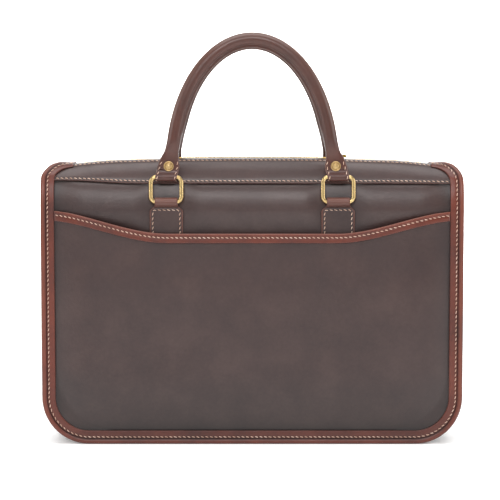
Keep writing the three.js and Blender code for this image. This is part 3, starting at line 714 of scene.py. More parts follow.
def strip_top(x, s):
    """Height of the strip's face: its layer, two stitch valleys and a rounded lower and upper edge."""
    from_seam, from_zip = s - SEAM, FACE_LENGTH - s
    rows = valley(from_seam - SEAM_STITCH, 0.25, 1.1) + valley(from_zip - ZIP_STITCH, 0.25, 1.1)
    edges = round_edge(from_seam, 0.6) + round_edge(from_zip, 0.6)
    ripple = 0.12 * np.sin(x / 23 + 0.9 * np.sin(s / 9)) * ease(from_seam / 9) * ease(from_zip / 9)
    return LAYER + rows + edges + ripple


def top_strip(name, back):
    """One strip from the seam to the zip, its rows set close together at both edges."""
    near_edge = np.array([0, 0.12, 0.3, 0.6, 1.2, 2.0, 2.8, 3.4, 4.0, 4.8, 6.0])
    middle = np.linspace(7.5, STRIP_WIDTH - 7.5, 12)
    s_row = SEAM + np.concatenate([near_edge, middle, STRIP_WIDTH - near_edge[::-1]])
    half = half_width_at(s_row, LEATHER_EDGE)
    across = edge_spacing(2.0, 170, 0.2) - 1
    x = across[None, :] * half[:, None]
    s = np.broadcast_to(s_row[:, None], x.shape)
    cut = bell(s - SEAM, 0.5) + bell(FACE_LENGTH - s, 0.5)
    # The cut edges are lighter; the valley of the seam's stitch row gets painted shade.
    shade = 0.52 + 0.25 * cut - 0.15 * bell(s - SEAM - SEAM_STITCH, 0.8)
    outer, inner = on_face(x, s, strip_top(x, s)), on_face(x, s, GAP)
    return wall(name, outer, inner, panel_leather, "case", shade, back)


for word, back in FACES:
    piece = top_strip(f"{word}_strip_leather", back)
    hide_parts(f"{word}_top_strip")

# %% [markdown]
# ## The front pocket
# The pocket is one patch over the lower front. It is sewn in with the side and floor bindings, and its
# scooped mouth stands open by a few millimetres. The patch is pillowed, so it is bright along its left
# and right flanks and falls into shade towards the floor; painted shade darkens it further beside the
# binding and towards the floor.

# %% Pocket patch
PATCH_TOP = MOUTH - 1.7
LIFT_START = 70.0


def pocket_waves(x, s):
    """The pocket's own shallow waves, none where it is sewn down."""
    return waves(x + 40, s + 15, 0.5) * swell(x, s)


def pocket_face(x, s):
    """Height of the pocket's outer face, with its waves."""
    return pocket_rise(x, s) + LEATHER + pocket_waves(x, s)


def pocket_piece():
    """The patch, its upper rows lifted step by step until the last one follows the scooped mouth."""
    x, level = face_grid(110, 150, LEATHER_EDGE, LEATHER_EDGE, PATCH_TOP, 0.3)
    s = level + ease((level - LIFT_START) / (MOUTH - LIFT_START)) * (mouth_at(x) - MOUTH)
    n = pocket_face(x, s)
    outer, inner = on_face(x, s, n), on_face(x, s, n - LEATHER)
    # Painted shade beside the binding and towards the floor.
    return wall("front_pocket_leather", outer, inner, panel_leather, "case", 0.5 - edge_shade(x, s))


pocket = pocket_piece()
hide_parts("front_pocket")

# %% [markdown]
# ## The binding over the pocket's mouth
# A narrow strip of the redder hide is folded over the pocket's raw edge and sewn through. It is a
# profile carried along the mouth: a rounded fold on top, a flat face with a stitch valley, a cut lower
# edge, and the inner leaf behind. Towards the side bindings the inner leaf shrinks away, because there
# is no room for it between pocket and panel.

# %% Mouth binding
LIP = 8.8
FOLD = 1.4
LIP_STITCH = 3.6


def lip_profile(x):
    """Outline of the folded strip at places x: (depth below the mouth, height over the pocket's inner
    face). The inner leaf shortens and slips behind the pocket near the ends."""
    inner_end = HALF_WIDTH - BAND - GAP - BAND
    fade = (np.abs(x) - inner_end) / BAND
    leaf = 7.8 + (1.55 - 7.8) * ease(fade * 2 + 2)
    tuck = 1 - ease(fade * 2)
    front = LAYER + FOLD
    back = (LAYER - 0.2) * (1 - tuck) - GAP * tuck
    behind = (LAYER - 0.6) * (1 - tuck) + (-GAP - FOLD) * tuck
    down = np.array([1.0, 2.2, 2.9, 3.6, 4.3, 5.2, 6.6, 7.8, 8.4, 8.7])
    face = front + valley(down - LIP_STITCH, 0.28, 1.0) + round_edge(LIP - down, 0.5)
    columns = [(0.5, behind + 0.1), (0.12, behind + 0.3), (0, behind + 0.7), (0, (behind + front) / 2),
               (0, front - 0.7), (0.12, front - 0.3), (0.5, front - 0.06), *zip(down, face),
               (LIP, front - 0.9), (LIP, LAYER), (FOLD, LAYER), (FOLD, back), (leaf, back), (leaf, behind)]
    return profile(columns, x)


def mouth_binding():
    """The folded strip, carried along the mouth from one side binding to the other."""
    end = HALF_WIDTH - BAND - GAP
    x = edge_spacing(2 * end, 200, 0.1) - end
    depth, height = lip_profile(x)
    s = mouth_at(x)[:, None] - depth
    x_all = np.broadcast_to(x[:, None], depth.shape)
    n = pocket_rise(x_all, s) + height + pocket_waves(x_all, s)
    # The fold on top is lighter, as rubbed leather and as a painted highlight; the stitch valley gets painted
    # shade.
    wear_and_painted_light = 0.5 + 0.28 * bell(depth, 0.8) - 0.12 * bell(depth - LIP_STITCH, 0.8)
    return solid_strip("mouth_binding_leather", on_face(x_all, s, n), binding_leather, "case", wear_and_painted_light)


lip = mouth_binding()
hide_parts("pocket_binding")

# %% [markdown]
# ## The edge bindings
# Round each face runs a folded strip of the redder hide. Its outer part is wrapped round the raw edges
# as a firm roll, its inner part lies flat as a band, and between them the stitches pull the leather
# into a narrow groove, darkened with painted shade. It is one profile carried round the outline. The
# height that the profile starts from follows what it covers: pocket or strip on the front, the bare
# panel on the lower back.

# %% Binding profile
ROLL_RISE = 2.2
ROLL_WRAP = 4.6
ROOF_EASE = 0.4
BIND_STITCH = 6.9


def binding_base(s, has_pocket):
    """Height of the layers under the binding, a little looser where they bend over the roof."""
    below = LAYER if has_pocket else LAYER * ease((s - (SEAM - 8)) / 6)
    return below + ROOF_EASE * ease((s - SEAM) / SEAM_LAP)


def binding_end_share():
    """Share of the binding's thickness: 1 all round, skived thin over the last 24 mm before the zip."""
    steps = np.hypot(*np.diff(EDGE, axis=0).T)
    length = np.concatenate([[0], np.cumsum(steps)])
    from_end = np.minimum(length, length[-1] - length)
    return 0.3 + 0.7 * ease(from_end / 24)


def binding_loops(has_pocket):
    """Profile points (outward, height) at each outline point: flat band with a rounded inner edge and a
    stitch valley, groove, half-round roll, outer flank and the inner faces that hold the leather."""
    s = EDGE[:, 1]
    base = binding_base(s, has_pocket)
    full = binding_end_share()
    band = base + GAP + FOLD * full
    top = base + GAP + ROLL_RISE * full
    low = band - 0.9 * full
    back = -ROLL_WRAP + (GAP + ROLL_WRAP) * ease((s - CORNER_START + 6) / 28)
    turn = np.radians(np.linspace(162, 28, 13))
    roll_out = -ROLL / 2 + ROLL / 2 * np.cos(turn)
    roll_up = np.sin(turn) ** 0.9
    columns = [(-BAND, base + GAP), (-BAND, base + GAP + 0.7 * full), (-BAND + 0.2, band - 0.25 * full),
               (-BAND + 0.6, band - 0.04)]
    for o in (-11.5, -10.0, -8.8, -8.0, -7.4, -6.9, -6.4, -6.0):
        columns.append((o, band + full * valley(o + BIND_STITCH, 0.32, 0.9)))
    columns += [(-5.65, band - 0.35 * full), (-5.3, band - 0.95 * full), (-5.0, band - 1.05 * full)]
    columns += [(o, low + (top - low) * u) for o, u in zip(roll_out[1:], roll_up[1:])]
    flank = np.linspace(0, 1, 6)[1:]
    start = low + (top - low) * roll_up[-1]
    columns += [(-0.12 * (1 - f), start + (back + 1 - start) * f) for f in flank]
    columns += [(-0.3, back + 0.3), (-1.0, back), (-ROLL_CORE, back), (-ROLL_CORE, base + GAP),
                (-8.2, base + GAP)]
    outward, height = profile(columns, s)
    x = EDGE[:, 0, None] + EDGE_OUT[:, 0, None] * outward
    along = EDGE[:, 1, None] + EDGE_OUT[:, 1, None] * outward
    groove = bell(outward + 5.2, 0.55) * (height > base[:, None] + GAP + 0.2)
    roll = bell(outward + 2.3, 1.3)
    # Painted shade in the groove, along the stitch line and towards the floor; the roll is lighter, as rubbed
    # leather and as a painted highlight.
    wear_and_painted_light = 0.5 - 0.46 * groove + 0.2 * roll - 0.12 * bell(outward + BIND_STITCH, 0.7)
    wear_and_painted_light = np.maximum(wear_and_painted_light - 0.2 * ease((45 - along) / 35), 0)
    return on_face(x, along, height), wear_and_painted_light


for word, back in FACES:
    loops, wear_and_painted_light = binding_loops(not back)
    piece = solid_strip(f"{word}_binding_leather", loops, binding_leather, "case", wear_and_painted_light, back)
    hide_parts(f"{word}_binding")

# %% [markdown]
# ## The gusset
# One strip of the dark hide joins the two faces round both sides and the floor, and its ends fold over
# the roof to the zip. On the sides it sinks in at mid-depth, as a soft gusset does when the case stands
# empty. It is a wall whose rows follow the outline and whose columns cross the depth.

# %% Gusset wall
GUSSET = 1.6
GUSSET_BOW = 5.0


def gusset_piece():
    """The strip as a wall, sunk in by the bow at mid-depth, with a fine crease where it folds."""
    s = EDGE[:, 1]
    inset = LEATHER_EDGE + 2.5 * ease((s - CORNER_START) / CORNER_RUN)
    roof_start = SEAM + SEAM_LAP
    behind = -LEATHER - GAP
    depth = behind + (-0.2 - behind) * ease((s - roof_start) / (FACE_LENGTH - roof_start))
    at = EDGE - EDGE_OUT * inset[:, None]
    corner = on_face(at[:, 0], at[:, 1], depth)
    up_side = ease((s - BOTTOM_RADIUS) / (MOUTH - BOTTOM_RADIUS))
    bow = GUSSET_BOW * up_side * (1 - ease((s - MOUTH) / (FACE_LENGTH - CORNER_RUN - MOUTH)))
    along = np.gradient(corner, axis=0)
    out = unit(np.stack([-along[:, 2], np.zeros(len(s)), along[:, 0]], axis=1))
    across = np.linspace(-1, 1, 33)
    y = -corner[:, 1, None] * across
    crease = 0.6 * bell(across, 0.06) * up_side[:, None]
    sink = bow[:, None] * (1 - across ** 2) + crease * (bow[:, None] > 0.5)
    flat = np.stack(np.broadcast_arrays(corner[:, 0, None], y, corner[:, 2, None]), axis=-1)
    outer = flat - out[:, None, :] * sink[..., None]
    inner = outer - out[:, None, :] * GUSSET
    # Painted shade along both edges, beside the bindings.
    shade = np.broadcast_to(0.5 - 0.22 * np.abs(across) ** 8, sink.shape)
    return wall("gusset_leather", outer, inner, panel_leather, "case", shade)


gusset = gusset_piece()
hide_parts("gusset")

# %% [markdown]
# ## The zip
# The zip lies in the slot between the strips. Its tape is woven cotton. The teeth are stamped brass,
# 2.5 mm apart, alternately held by the left and the right tape, so a loop of small identical blocks is
# laid out as one array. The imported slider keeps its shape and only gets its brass.

# %% Zip tape and teeth
ZIP_HALF = HALF_WIDTH - CORNER_REACH - LEATHER_EDGE
TAPE_HALF = ZIP_HALF + 3.2
TOOTH_PITCH = 2.5
TEETH_LOW, TEETH_HIGH = GAP, 2.9
TOOTH_LONG, TOOTH_WIDE, TOOTH_SIDE = 1.05, 4.1, 0.55
TAPE_SIDE, TAPE_THICK = 8.5, 0.9


def roof_at(x):
    """Height of the roof over the zip."""
    return ROOF_HEIGHT + crown(x, FACE_LENGTH)


def tape_piece():
    """One flat tape just under the roof's height, as long as the slot between the gusset's ends."""
    along = np.linspace(-TAPE_HALF, TAPE_HALF, 160)
    x, y = np.meshgrid(along, np.linspace(-TAPE_SIDE, TAPE_SIDE, 19), indexing="ij")
    top = np.stack([x, y, roof_at(x) - 0.02], axis=-1)
    return wall("zip_tape_cotton", top, top - np.array([0, 0, TAPE_THICK]), tape_cotton, "case")


def blocks(centres, sizes):
    """Many boxes at once, their upper edges drawn in by a quarter: points and quads as whole arrays."""
    square = np.array([[-1, -1], [1, -1], [1, 1], [-1, 1]])
    levels = [(square, -1), (square, 0.5), (square * [0.7, 0.75], 1)]
    block = np.concatenate([np.column_stack([flat, np.full(4, up)]) for flat, up in levels]) / 2
    quads = np.array([[3, 2, 1, 0], [0, 1, 5, 4], [1, 2, 6, 5], [2, 3, 7, 6], [3, 0, 4, 7],
                      [4, 5, 9, 8], [5, 6, 10, 9], [6, 7, 11, 10], [7, 4, 8, 11], [8, 9, 10, 11]])
    points = centres[:, None, :] + block[None] * sizes
    faces = quads[None] + (np.arange(len(centres)) * len(block))[:, None, None]
    return points.reshape(-1, 3), faces.reshape(-1, 4)


def teeth_piece():
    """Teeth 1.05 mm long along the zip, alternately 0.55 mm to either side of its middle line. They
    stand 0.5 mm proud in the middle of the zip and sink by 0.9 mm towards both ends."""
    x = np.arange(-ZIP_HALF + 1.5, ZIP_HALF - 1.4, TOOTH_PITCH / 2)
    side = np.where(np.arange(len(x)) % 2 == 0, TOOTH_SIDE, -TOOTH_SIDE)
    sink = 0.9 * ease((np.abs(x) - 62) / 30) - 0.5
    centres = np.stack([x, side, roof_at(x) + (TEETH_LOW + TEETH_HIGH) / 2 - sink], axis=1)
    points, faces = blocks(centres, np.array([TOOTH_LONG, TOOTH_WIDE, TEETH_HIGH - TEETH_LOW]))
    piece = mesh_object("zip_teeth_brass", place(points), faces, smooth=False)
    piece.data.materials.append(zip_brass)
    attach(piece, "case")
    return piece


tape = tape_piece()
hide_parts("zip_tape")
teeth = teeth_piece()
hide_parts("zip_teeth")
print("zip teeth", len(teeth.data.vertices) // 12)

# %% [markdown]
# ## The ring tabs
# Each brass ring hangs in a leather tab, one strap folded in two. The front leaf comes up from the wide
# sewn foot, bends out over the ring's lower bar, and goes down again behind it. Leather that is bent so
# sharply loses its dark surface oil and turns lighter and redder there, which the wear attribute draws.
# The tab is one wall: its rows follow the strap and its columns cross it, with a width that narrows
# smoothly from the foot to the loop.

# %% Tab sizes
WIRE = 3.8
RING_WIDTH, RING_HEIGHT, RING_BEND = 32.6, 27.6, 5.4
RING_BAR = 231.0
TAB_LOOP_WIDTH = 21.6
TAB_WIDTH = 31.3
TAB_TOP = 227.0
TAB_THICK = 3.0
TAB_FOOT = MOUTH - 18
CHAPE = 1.8
WIRE_HOLE = WIRE / 2 + 0.7
TAB_LOOP = WIRE_HOLE + CHAPE
BAR_OUT = GAP + TAB_LOOP
TAB_STITCH = 2.9
TAB_STITCH_TOP = TAB_TOP - 3.6
LEAVE_BAR = np.radians(-50)


def tab_face(x, s):
    """Height of the foot's outer face over the flat front plane."""
    return panel_rise(x, s) + GAP + TAB_THICK


def strap_path():
    """The strap as rows of (out, up): outer side, inner side, and how far each row is bent over the bar.
    The foot is straight, a cubic curve leads out to the bar, a circle runs over it, and the back leaf
    drops behind."""
    foot_up = TAB_FOOT + edge_spacing(TAB_TOP - 2 - TAB_FOOT, 34, 0.3)
    foot = np.stack([np.full(34, GAP + TAB_THICK), foot_up], axis=1)
    foot_in = np.stack([np.full(34, GAP), foot_up], axis=1)
    turn = np.linspace(LEAVE_BAR, np.pi, 34)
    round_bar = np.stack([np.cos(turn), np.sin(turn)], axis=1)
    bar = np.array([BAR_OUT, RING_BAR])
    loop, loop_in = bar + TAB_LOOP * round_bar, bar + WIRE_HOLE * round_bar
    away = np.array([-np.sin(LEAVE_BAR), np.cos(LEAVE_BAR)])
    control = np.array([foot[-1], foot[-1] + [0, 1.2], loop[0] - 1.6 * away, loop[0]])
    t = np.linspace(0, 1, 12)[1:-1, None]
    bend = ((1 - t) ** 3 * control[0] + 3 * t * (1 - t) ** 2 * control[1]
            + 3 * t ** 2 * (1 - t) * control[2] + t ** 3 * control[3])
    bend_in = foot_in[-1] * (1 - t) + loop_in[0] * t
    drop = np.linspace(0, 4.5, 5)[1:, None] * np.array([0, -1.0])
    outer = np.concatenate([foot, bend, loop, loop[-1] + drop])
    inner = np.concatenate([foot_in, bend_in, loop_in, loop_in[-1] + drop])
    over_bar = 0.6 + 0.4 * np.sin((turn - LEAVE_BAR) * 0.78) ** 2
    bent = np.concatenate([np.zeros(34), ease(t[:, 0]) * 0.6, over_bar, np.full(4, 0.5)])
    return outer, inner, bent


def tab_half_width(up, bent):
    """Half width of the strap: wide at the foot, drawn in along a smooth S to the loop."""
    shoulder = ease((up - (TAB_TOP - 5.0)) / 6.0)
    shoulder = np.where(bent > 0.61, 1.0, shoulder)
    return TAB_WIDTH / 2 + (TAB_LOOP_WIDTH - TAB_WIDTH) / 2 * shoulder


def columns_across(half, near, count):
    """Places across a strap of the given half widths: the near ones beside both edges, then even."""
    middle = np.linspace(-1, 1, count)[1:-1]
    return np.concatenate([-half + near, (half - near[-1]) * middle, half - near[::-1]], axis=1)


def tab_piece(name, centre, back):
    """The strap as a wall. Its foot lies on the panel and is pressed in by its stitches."""
    outer, inner, bent = strap_path()
    half = tab_half_width(outer[:, 1], bent)[:, None]
    x = columns_across(half, np.array([0, 0.06, 0.18, 0.4, 0.8, 1.4, 2.0, 2.7, 3.4, 4.2]), 14)
    from_side = half - np.abs(x)
    on_foot = (1 - ease(bent * 4))[:, None]
    raise_by = panel_rise(x + centre, outer[:, 1, None]) * on_foot
    above_row = TAB_STITCH_TOP - outer[:, 1, None]
    press = valley(np.minimum(from_side - TAB_STITCH, 9), 0.25, 0.8) * on_foot * ease(above_row + 1)
    press = press + valley(above_row, 0.25, 0.8) * on_foot * (from_side > TAB_STITCH)
    height = round_edge(from_side, 1.0) + press
    face = outer[:, None, :] + unit(outer - inner)[:, None, :] * height[..., None]
    lining = np.broadcast_to(inner[:, None, :], face.shape)

    def stood(side):
        return np.stack([x + centre, -HALF_DEPTH - side[..., 0] - raise_by, side[..., 1]], axis=-1)

    # Lighter cut edges and bends as rubbed leather; painted shade in the stitch valleys.
    wear_and_painted_light = 0.5 + 0.42 * bell(from_side, 1.1) * on_foot + 0.42 * bent[:, None] + 0.1 * press
    return wall(name, stood(face), stood(lining), panel_leather, "case", np.clip(wear_and_painted_light, 0, 1), back)


TABS = {"front_left": (-1, False), "front_right": (1, False),
        "back_right": (-1, True), "back_left": (1, True)}
for word, (side, back) in TABS.items():
    tab = tab_piece(f"{word}_tab_strap", side * RING_SPACING / 2, back)
    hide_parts(f"{word}_tab")

# %% [markdown]
# ## Handles
# Each handle is a strip of hide wrapped round a cord core and sewn shut along its inner side, so it is
# round in the hand and flat and wide at both ends, where it folds round the ring. The section is a
# super-ellipse whose power falls from nearly square at the ends to a circle in the grip. It is carried
# along the centre line in the handle's own plane, and the plane is then leaned in from upright.

# %% The handle's plane
HANDLE_LEAN = np.radians(2.5)
HANDLE_RISE = 159.2
HANDLE_ROLL = 13.2
HANDLE_BEND = 33.5
HANDLE_SPREAD = 150.4
END_WIDTH = 20.6
END_THICK = 5.2
UPPER_BAR = RING_HEIGHT - WIRE
SKIN_START = UPPER_BAR + 5.5
FLARE_TOP, FLARE_RUN = 50.0, 18.0
FLAT_TOP, FLAT_RUN = 60.0, 21.0
RIVET_UP = UPPER_BAR + 10
RIVET_OUT = RING_SPACING / 2 - 2.6
END_STITCH = 2.0
HANDLE_OUT = HALF_DEPTH + BAR_OUT
GRIP_REACH = (HANDLE_RISE - HANDLE_ROLL / 2) / np.cos(HANDLE_LEAN)


def handle_place(x, v, out):
    """Handle plane to space: x across, v up from the ring's lower bar, out away from the case."""
    sin, cos = np.sin(HANDLE_LEAN), np.cos(HANDLE_LEAN)
    return np.stack([x, -HANDLE_OUT + v * sin - out * cos, RING_BAR + v * cos + out * sin], axis=-1)


def flare(v):
    """Half width, half thickness and power of the handle's section at height v: the round roll widens
    and flattens smoothly into the end that folds round the ring."""
    wide = ease((FLARE_TOP - v) / FLARE_RUN)
    flat = ease((FLAT_TOP - v) / FLAT_RUN)
    half_width = HANDLE_ROLL / 2 + (END_WIDTH - HANDLE_ROLL) / 2 * wide
    half_thick = HANDLE_ROLL / 2 + (END_THICK - HANDLE_ROLL) / 2 * flat
    return half_width, half_thick, 2 + 2 * flat


def end_centre(v):
    """Middle of the handle end across: over the ring at its bar, then drawn in towards the arch."""
    return np.interp(v, [UPPER_BAR, SKIN_START, RIVET_UP, RIVET_UP + 5.75],
                     [RING_SPACING / 2, RING_SPACING / 2 - 1.4, RIVET_OUT, RIVET_OUT - 0.8])


def handle_line():
    """Half of the centre line and its section: (x, v, half width, half thickness, power). The ends are
    straight and the arch is half an ellipse."""
    v_end = np.linspace(SKIN_START, RIVET_UP + 5.7, 9)
    degrees = np.concatenate([np.linspace(5.5, 16, 13), np.linspace(18, 90, 48)])
    angle = np.radians(degrees)
    narrow = ease((degrees - 1.5) / 11)
    x_arch = HANDLE_SPREAD / 2 * np.cos(angle) + (1 - narrow) * (RIVET_OUT - HANDLE_SPREAD / 2) * 0.6
    v_arch = HANDLE_BEND + (GRIP_REACH - HANDLE_BEND) * np.sin(angle)
    x, v = np.concatenate([end_centre(v_end), x_arch]), np.concatenate([v_end, v_arch])
    return np.stack([x, v, *flare(v)], axis=1)


_half_line = handle_line()
LINE = np.concatenate([_half_line, _half_line[-2::-1] * np.array([-1, 1, 1, 1, 1])])
_along = unit(np.gradient(LINE[:, :2], axis=0))
LINE_OUT = np.stack([_along[:, 1], -_along[:, 0]], axis=1)
LINE_LENGTH = np.concatenate([[0], np.cumsum(np.hypot(*np.diff(LINE[:, :2], axis=0).T))])
print(f"handle length along its middle {LINE_LENGTH[-1]:.0f} mm")

# %% [markdown]
# The side of the section that faces the hollow of the arch carries the seam: the two cut edges meet
# there in a low flat fin. It starts above the flared ends.

# %% Handle skin
def section(turn, line):
    """Radius of the super-ellipse in the handle's plane and through it, at angles round the section."""
    cos, sin = np.cos(turn), np.sin(turn)
    power = 2 / line[:, 4, None]
    across = line[:, 2, None] * np.sign(cos) * np.abs(cos) ** power
    through = line[:, 3, None] * np.sign(sin) * np.abs(sin) ** power
    return across, through


def handle_skin(name, back, body):
    """The rolled skin: a fin along its inner side, a groove on both sides of the fin, creases across."""
    turn = np.linspace(0, 2 * np.pi, 49)[:-1][None, :]
    from_inside = turn - np.pi
    from_outside = np.mod(turn + np.pi, 2 * np.pi) - np.pi
    across, through = section(turn, LINE)
    from_end = np.minimum(LINE_LENGTH, LINE_LENGTH[-1] - LINE_LENGTH)[:, None]
    rolled = ease((from_end - 26) / 24)
    fin = 1.3 * rolled * bell(from_inside, 0.20)
    groove = 0.35 * rolled * bell(np.abs(from_inside) - 0.52, 0.12)
    scale = 1 - groove / np.maximum(LINE[:, 2, None], 1)
    creases = 0.05 * np.sin(LINE_LENGTH[:, None] * 1.1 + 2 * np.sin(turn * 2)) * rolled
    across = across * scale - fin + creases * np.cos(turn)
    x = LINE[:, 0, None] + LINE_OUT[:, 0, None] * across
    v = LINE[:, 1, None] + LINE_OUT[:, 1, None] * across
    loops = handle_place(x, v, through * scale)
    # Lighter along the outer side of the roll and on the fin, as rubbed leather and as a painted highlight;
    # painted shade in the grooves beside the fin.
    wear_and_painted_light = 0.52 + (0.22 * bell(from_outside, 0.8) + 0.25 * bell(from_inside, 0.08)) * rolled - 0.3 * groove
    return solid_strip(name, loops, handle_leather, body, wear_and_painted_light, back)


# %% [markdown]
# Below the rivet the end of the handle is wrapped round the ring's upper bar. The wrap is a wall whose
# rows run round the bar and whose columns cross the handle's width.

# %% Wraps round the rings
BAR_HOLE = WIRE / 2 + 0.6
END_LOOP = BAR_HOLE + 1.9
END_ROUNDING = 1.3


def end_face(v):
    """Height of the end's outer face over the handle's middle plane: flat above, then swelling out over
    the bar, and a circle round it below."""
    swelling = END_THICK / 2 + (END_LOOP - END_THICK / 2) * ease((SKIN_START - v) / (SKIN_START - UPPER_BAR))
    circle = np.sqrt(np.maximum(END_LOOP ** 2 - np.minimum(v - UPPER_BAR, 0) ** 2, 0))
    return np.where(v > UPPER_BAR, swelling, circle)


def ring_wrap(name, side, back, body):
    """The folded end: down the outer face, round the bar and up the inner face, its top tucked in."""
    above = np.array([4.2, 2.8, 1.6, 0.9, 0.4])
    sunk = np.concatenate([SKIN_START + above, SKIN_START - edge_spacing(SKIN_START - UPPER_BAR, 12, 0.2)])
    hidden = ease((sunk - SKIN_START) / 2.5)
    front = end_face(sunk) * (1 - hidden) + 1.2 * hidden
    inside = BAR_HOLE + (0.3 - BAR_HOLE) * ease((sunk - UPPER_BAR) / (SKIN_START - UPPER_BAR))
    turn = np.linspace(0, -np.pi, 30)[1:-1]
    arc = np.stack([np.cos(turn), np.sin(turn)], axis=1)
    bar = np.array([0, UPPER_BAR])
    mirror = np.array([-1.0, 1.0])
    band, hollow = np.stack([front, sunk], axis=1), np.stack([inside, sunk], axis=1)
    band = np.concatenate([band, bar + END_LOOP * arc, band[::-1] * mirror])
    hollow = np.concatenate([hollow, bar + BAR_HOLE * arc, hollow[::-1] * mirror])
    below = ease((UPPER_BAR - band[:, 1]) / END_LOOP)
    half = (flare(band[:, 1])[0] - END_ROUNDING * below)[:, None]
    across = columns_across(half, np.array([0, 0.08, 0.25, 0.55, 1.0, 1.5, 2.0, 2.6]), 13)
    from_edge = half - np.abs(across)
    press = round_edge(from_edge, 0.9) + valley(from_edge - END_STITCH, 0.2, 0.7)
    face = band[:, None, :] + unit(band - hollow)[:, None, :] * press[..., None]
    lining = np.broadcast_to(hollow[:, None, :], face.shape)
    x = side * (across + end_centre(np.maximum(band[:, 1, None], UPPER_BAR)))
    wear_and_painted_light = 0.5 + 0.3 * bell(from_edge, 0.5)
    outer = handle_place(x, face[..., 1], face[..., 0])
    inner = handle_place(x, lining[..., 1], lining[..., 0])
    return wall(name, outer, inner, handle_leather, body, wear_and_painted_light, back)


for word, back in FACES:
    body = f"{word}_grip"
    skin = handle_skin(f"{word}_handle_roll", back, body)
    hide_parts(f"{word}_handle")
    for side in (-1, 1):
        seen = "left" if (side < 0) != back else "right"
        wrap = ring_wrap(f"{word}_{seen}_handle_wrap", side, back, body)
        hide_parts(f"{word}_handle")

# %% [markdown]
# ## Rings and rivets
# The rivets are turned brass: a rim, a fine groove and a low dome, drawn as a profile spun round
# its axis.

# %% Fine rings
def brass_piece(name, x, v, out, material, body, back):
    """A closed row of profiles, given as places in the handle's plane, as one piece of brass."""
    points = place(handle_place(x, v, out), back).reshape(-1, 3)
    piece = mesh_object(name, points, facing_out(points, sweep(x[..., None], closed_path=True)))
    piece.data.materials.append(material)
    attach(piece, body)
    return piece


def ring_piece(name, side, back, body):
    """Round wire along a rounded rectangle: four quarter circles of the bend radius, joined straight."""
    half_x = (RING_WIDTH - WIRE) / 2
    half_v = (RING_HEIGHT - WIRE) / 2
    bend = np.radians(np.linspace(0, 90, 12))
    centre_x = np.repeat(np.array([1, -1, -1, 1]) * (half_x - RING_BEND), 12)
    centre_v = np.repeat(np.array([1, 1, -1, -1]) * (half_v - RING_BEND), 12)
    angle = np.concatenate([bend + quarter * np.pi / 2 for quarter in range(4)])
    turn = np.linspace(0, 2 * np.pi, 25)[:-1][None, :]
    reach = RING_BEND + WIRE / 2 * np.cos(turn)
    x = centre_x[:, None] + reach * np.cos(angle)[:, None] + side * RING_SPACING / 2
    v = centre_v[:, None] + reach * np.sin(angle)[:, None] + half_v
    return brass_piece(name, x, v, WIRE / 2 * np.sin(turn), ring_brass, body, back)


# %% Fine rivets
RIVET_CAP = 9.5


def rivet_piece(name, side, back, body):
    """A turned profile (radius, height) spun round the rivet's axis: back washer, shaft, rim, groove
    and dome. Its first and last points lie 0.02 mm from the axis and are joined through the rivet."""
    seat = END_THICK / 2 + GAP
    cap = RIVET_CAP / 2
    bend = np.radians(np.linspace(0, 90, 7))
    rim = np.stack([cap - 0.55 + 0.55 * np.cos(bend), seat + 0.75 + 0.55 * np.sin(bend)], axis=1)
    inner_rim = np.array([[cap - 0.95, seat + 1.2], [cap - 1.1, seat + 0.62], [cap - 1.35, seat + 0.55]])
    dome_r = np.linspace(cap - 1.5, 0.02, 10)
    dome = np.stack([dome_r, seat + 0.7 + 1.3 * (1 - (dome_r / (cap - 1.5)) ** 2)], axis=1)
    under = np.array([[0.02, -seat - 0.9], [cap - 1.0, -seat - 0.9], [cap - 0.5, -seat - 0.6],
                      [cap - 0.4, -seat], [2.0, -seat], [2.0, seat], [cap - 0.1, seat], [cap, seat + 0.3]])
    radius, out = np.concatenate([under, rim, inner_rim, dome]).T[:, None, :]
    turn = np.linspace(0, 2 * np.pi, 49)[:-1, None]
    x = radius * np.cos(turn) + side * RIVET_OUT
    v = radius * np.sin(turn) + RIVET_UP
    return brass_piece(name, x, v, out, rivet_brass, body, back)


for word, (side, back) in TABS.items():
    body = "back_grip" if back else "front_grip"
    ring = ring_piece(f"{word}_brass_ring", side, back, body)
    rivet = rivet_piece(f"{word}_brass_rivet", side, back, body)
    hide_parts(f"{word}_ring")
    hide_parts(f"{word}_rivet")

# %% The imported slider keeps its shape
slider_mesh = frame["nodes"]["zip_slider"]
slider_mesh.data.materials.clear()
slider_mesh.data.materials.append(zip_brass)
print("slider faces", len(slider_mesh.data.polygons))

# %% [markdown]
# ## Stitching
# A saddle stitch shows as a row of short, plump dashes with their ends sinking into the holes. Each
# dash is a small tube of six sides whose middle stands proud and whose ends dip under the surface. The
# whole row is worked out at once: places along the path, the path's direction and the surface's normal
# there, and the tube's rings as one array. Dashes lean a few degrees from the line, as sewn ones do.

# %% A row of stitches as one array
THREAD = 0.85
STITCH_LENGTH = 2.9
SLANT = 0.3
DASH_SIDES, DASH_RINGS = 6, 7


def along_path(points, pitch):
    """Stitch places: the path's points, read at even lengths that divide it exactly."""
    length = np.concatenate([[0], np.cumsum(np.linalg.norm(np.diff(points, axis=0), axis=1))])
    count = max(int(round(length[-1] / pitch)), 1)
    at = (np.arange(count) + 0.5) * length[-1] / count
    return at, length


def read(values, at, length):
    """Reads rows of values at given lengths along their path."""
    return np.stack([np.interp(at, length, values[:, k]) for k in range(values.shape[1])], axis=1)


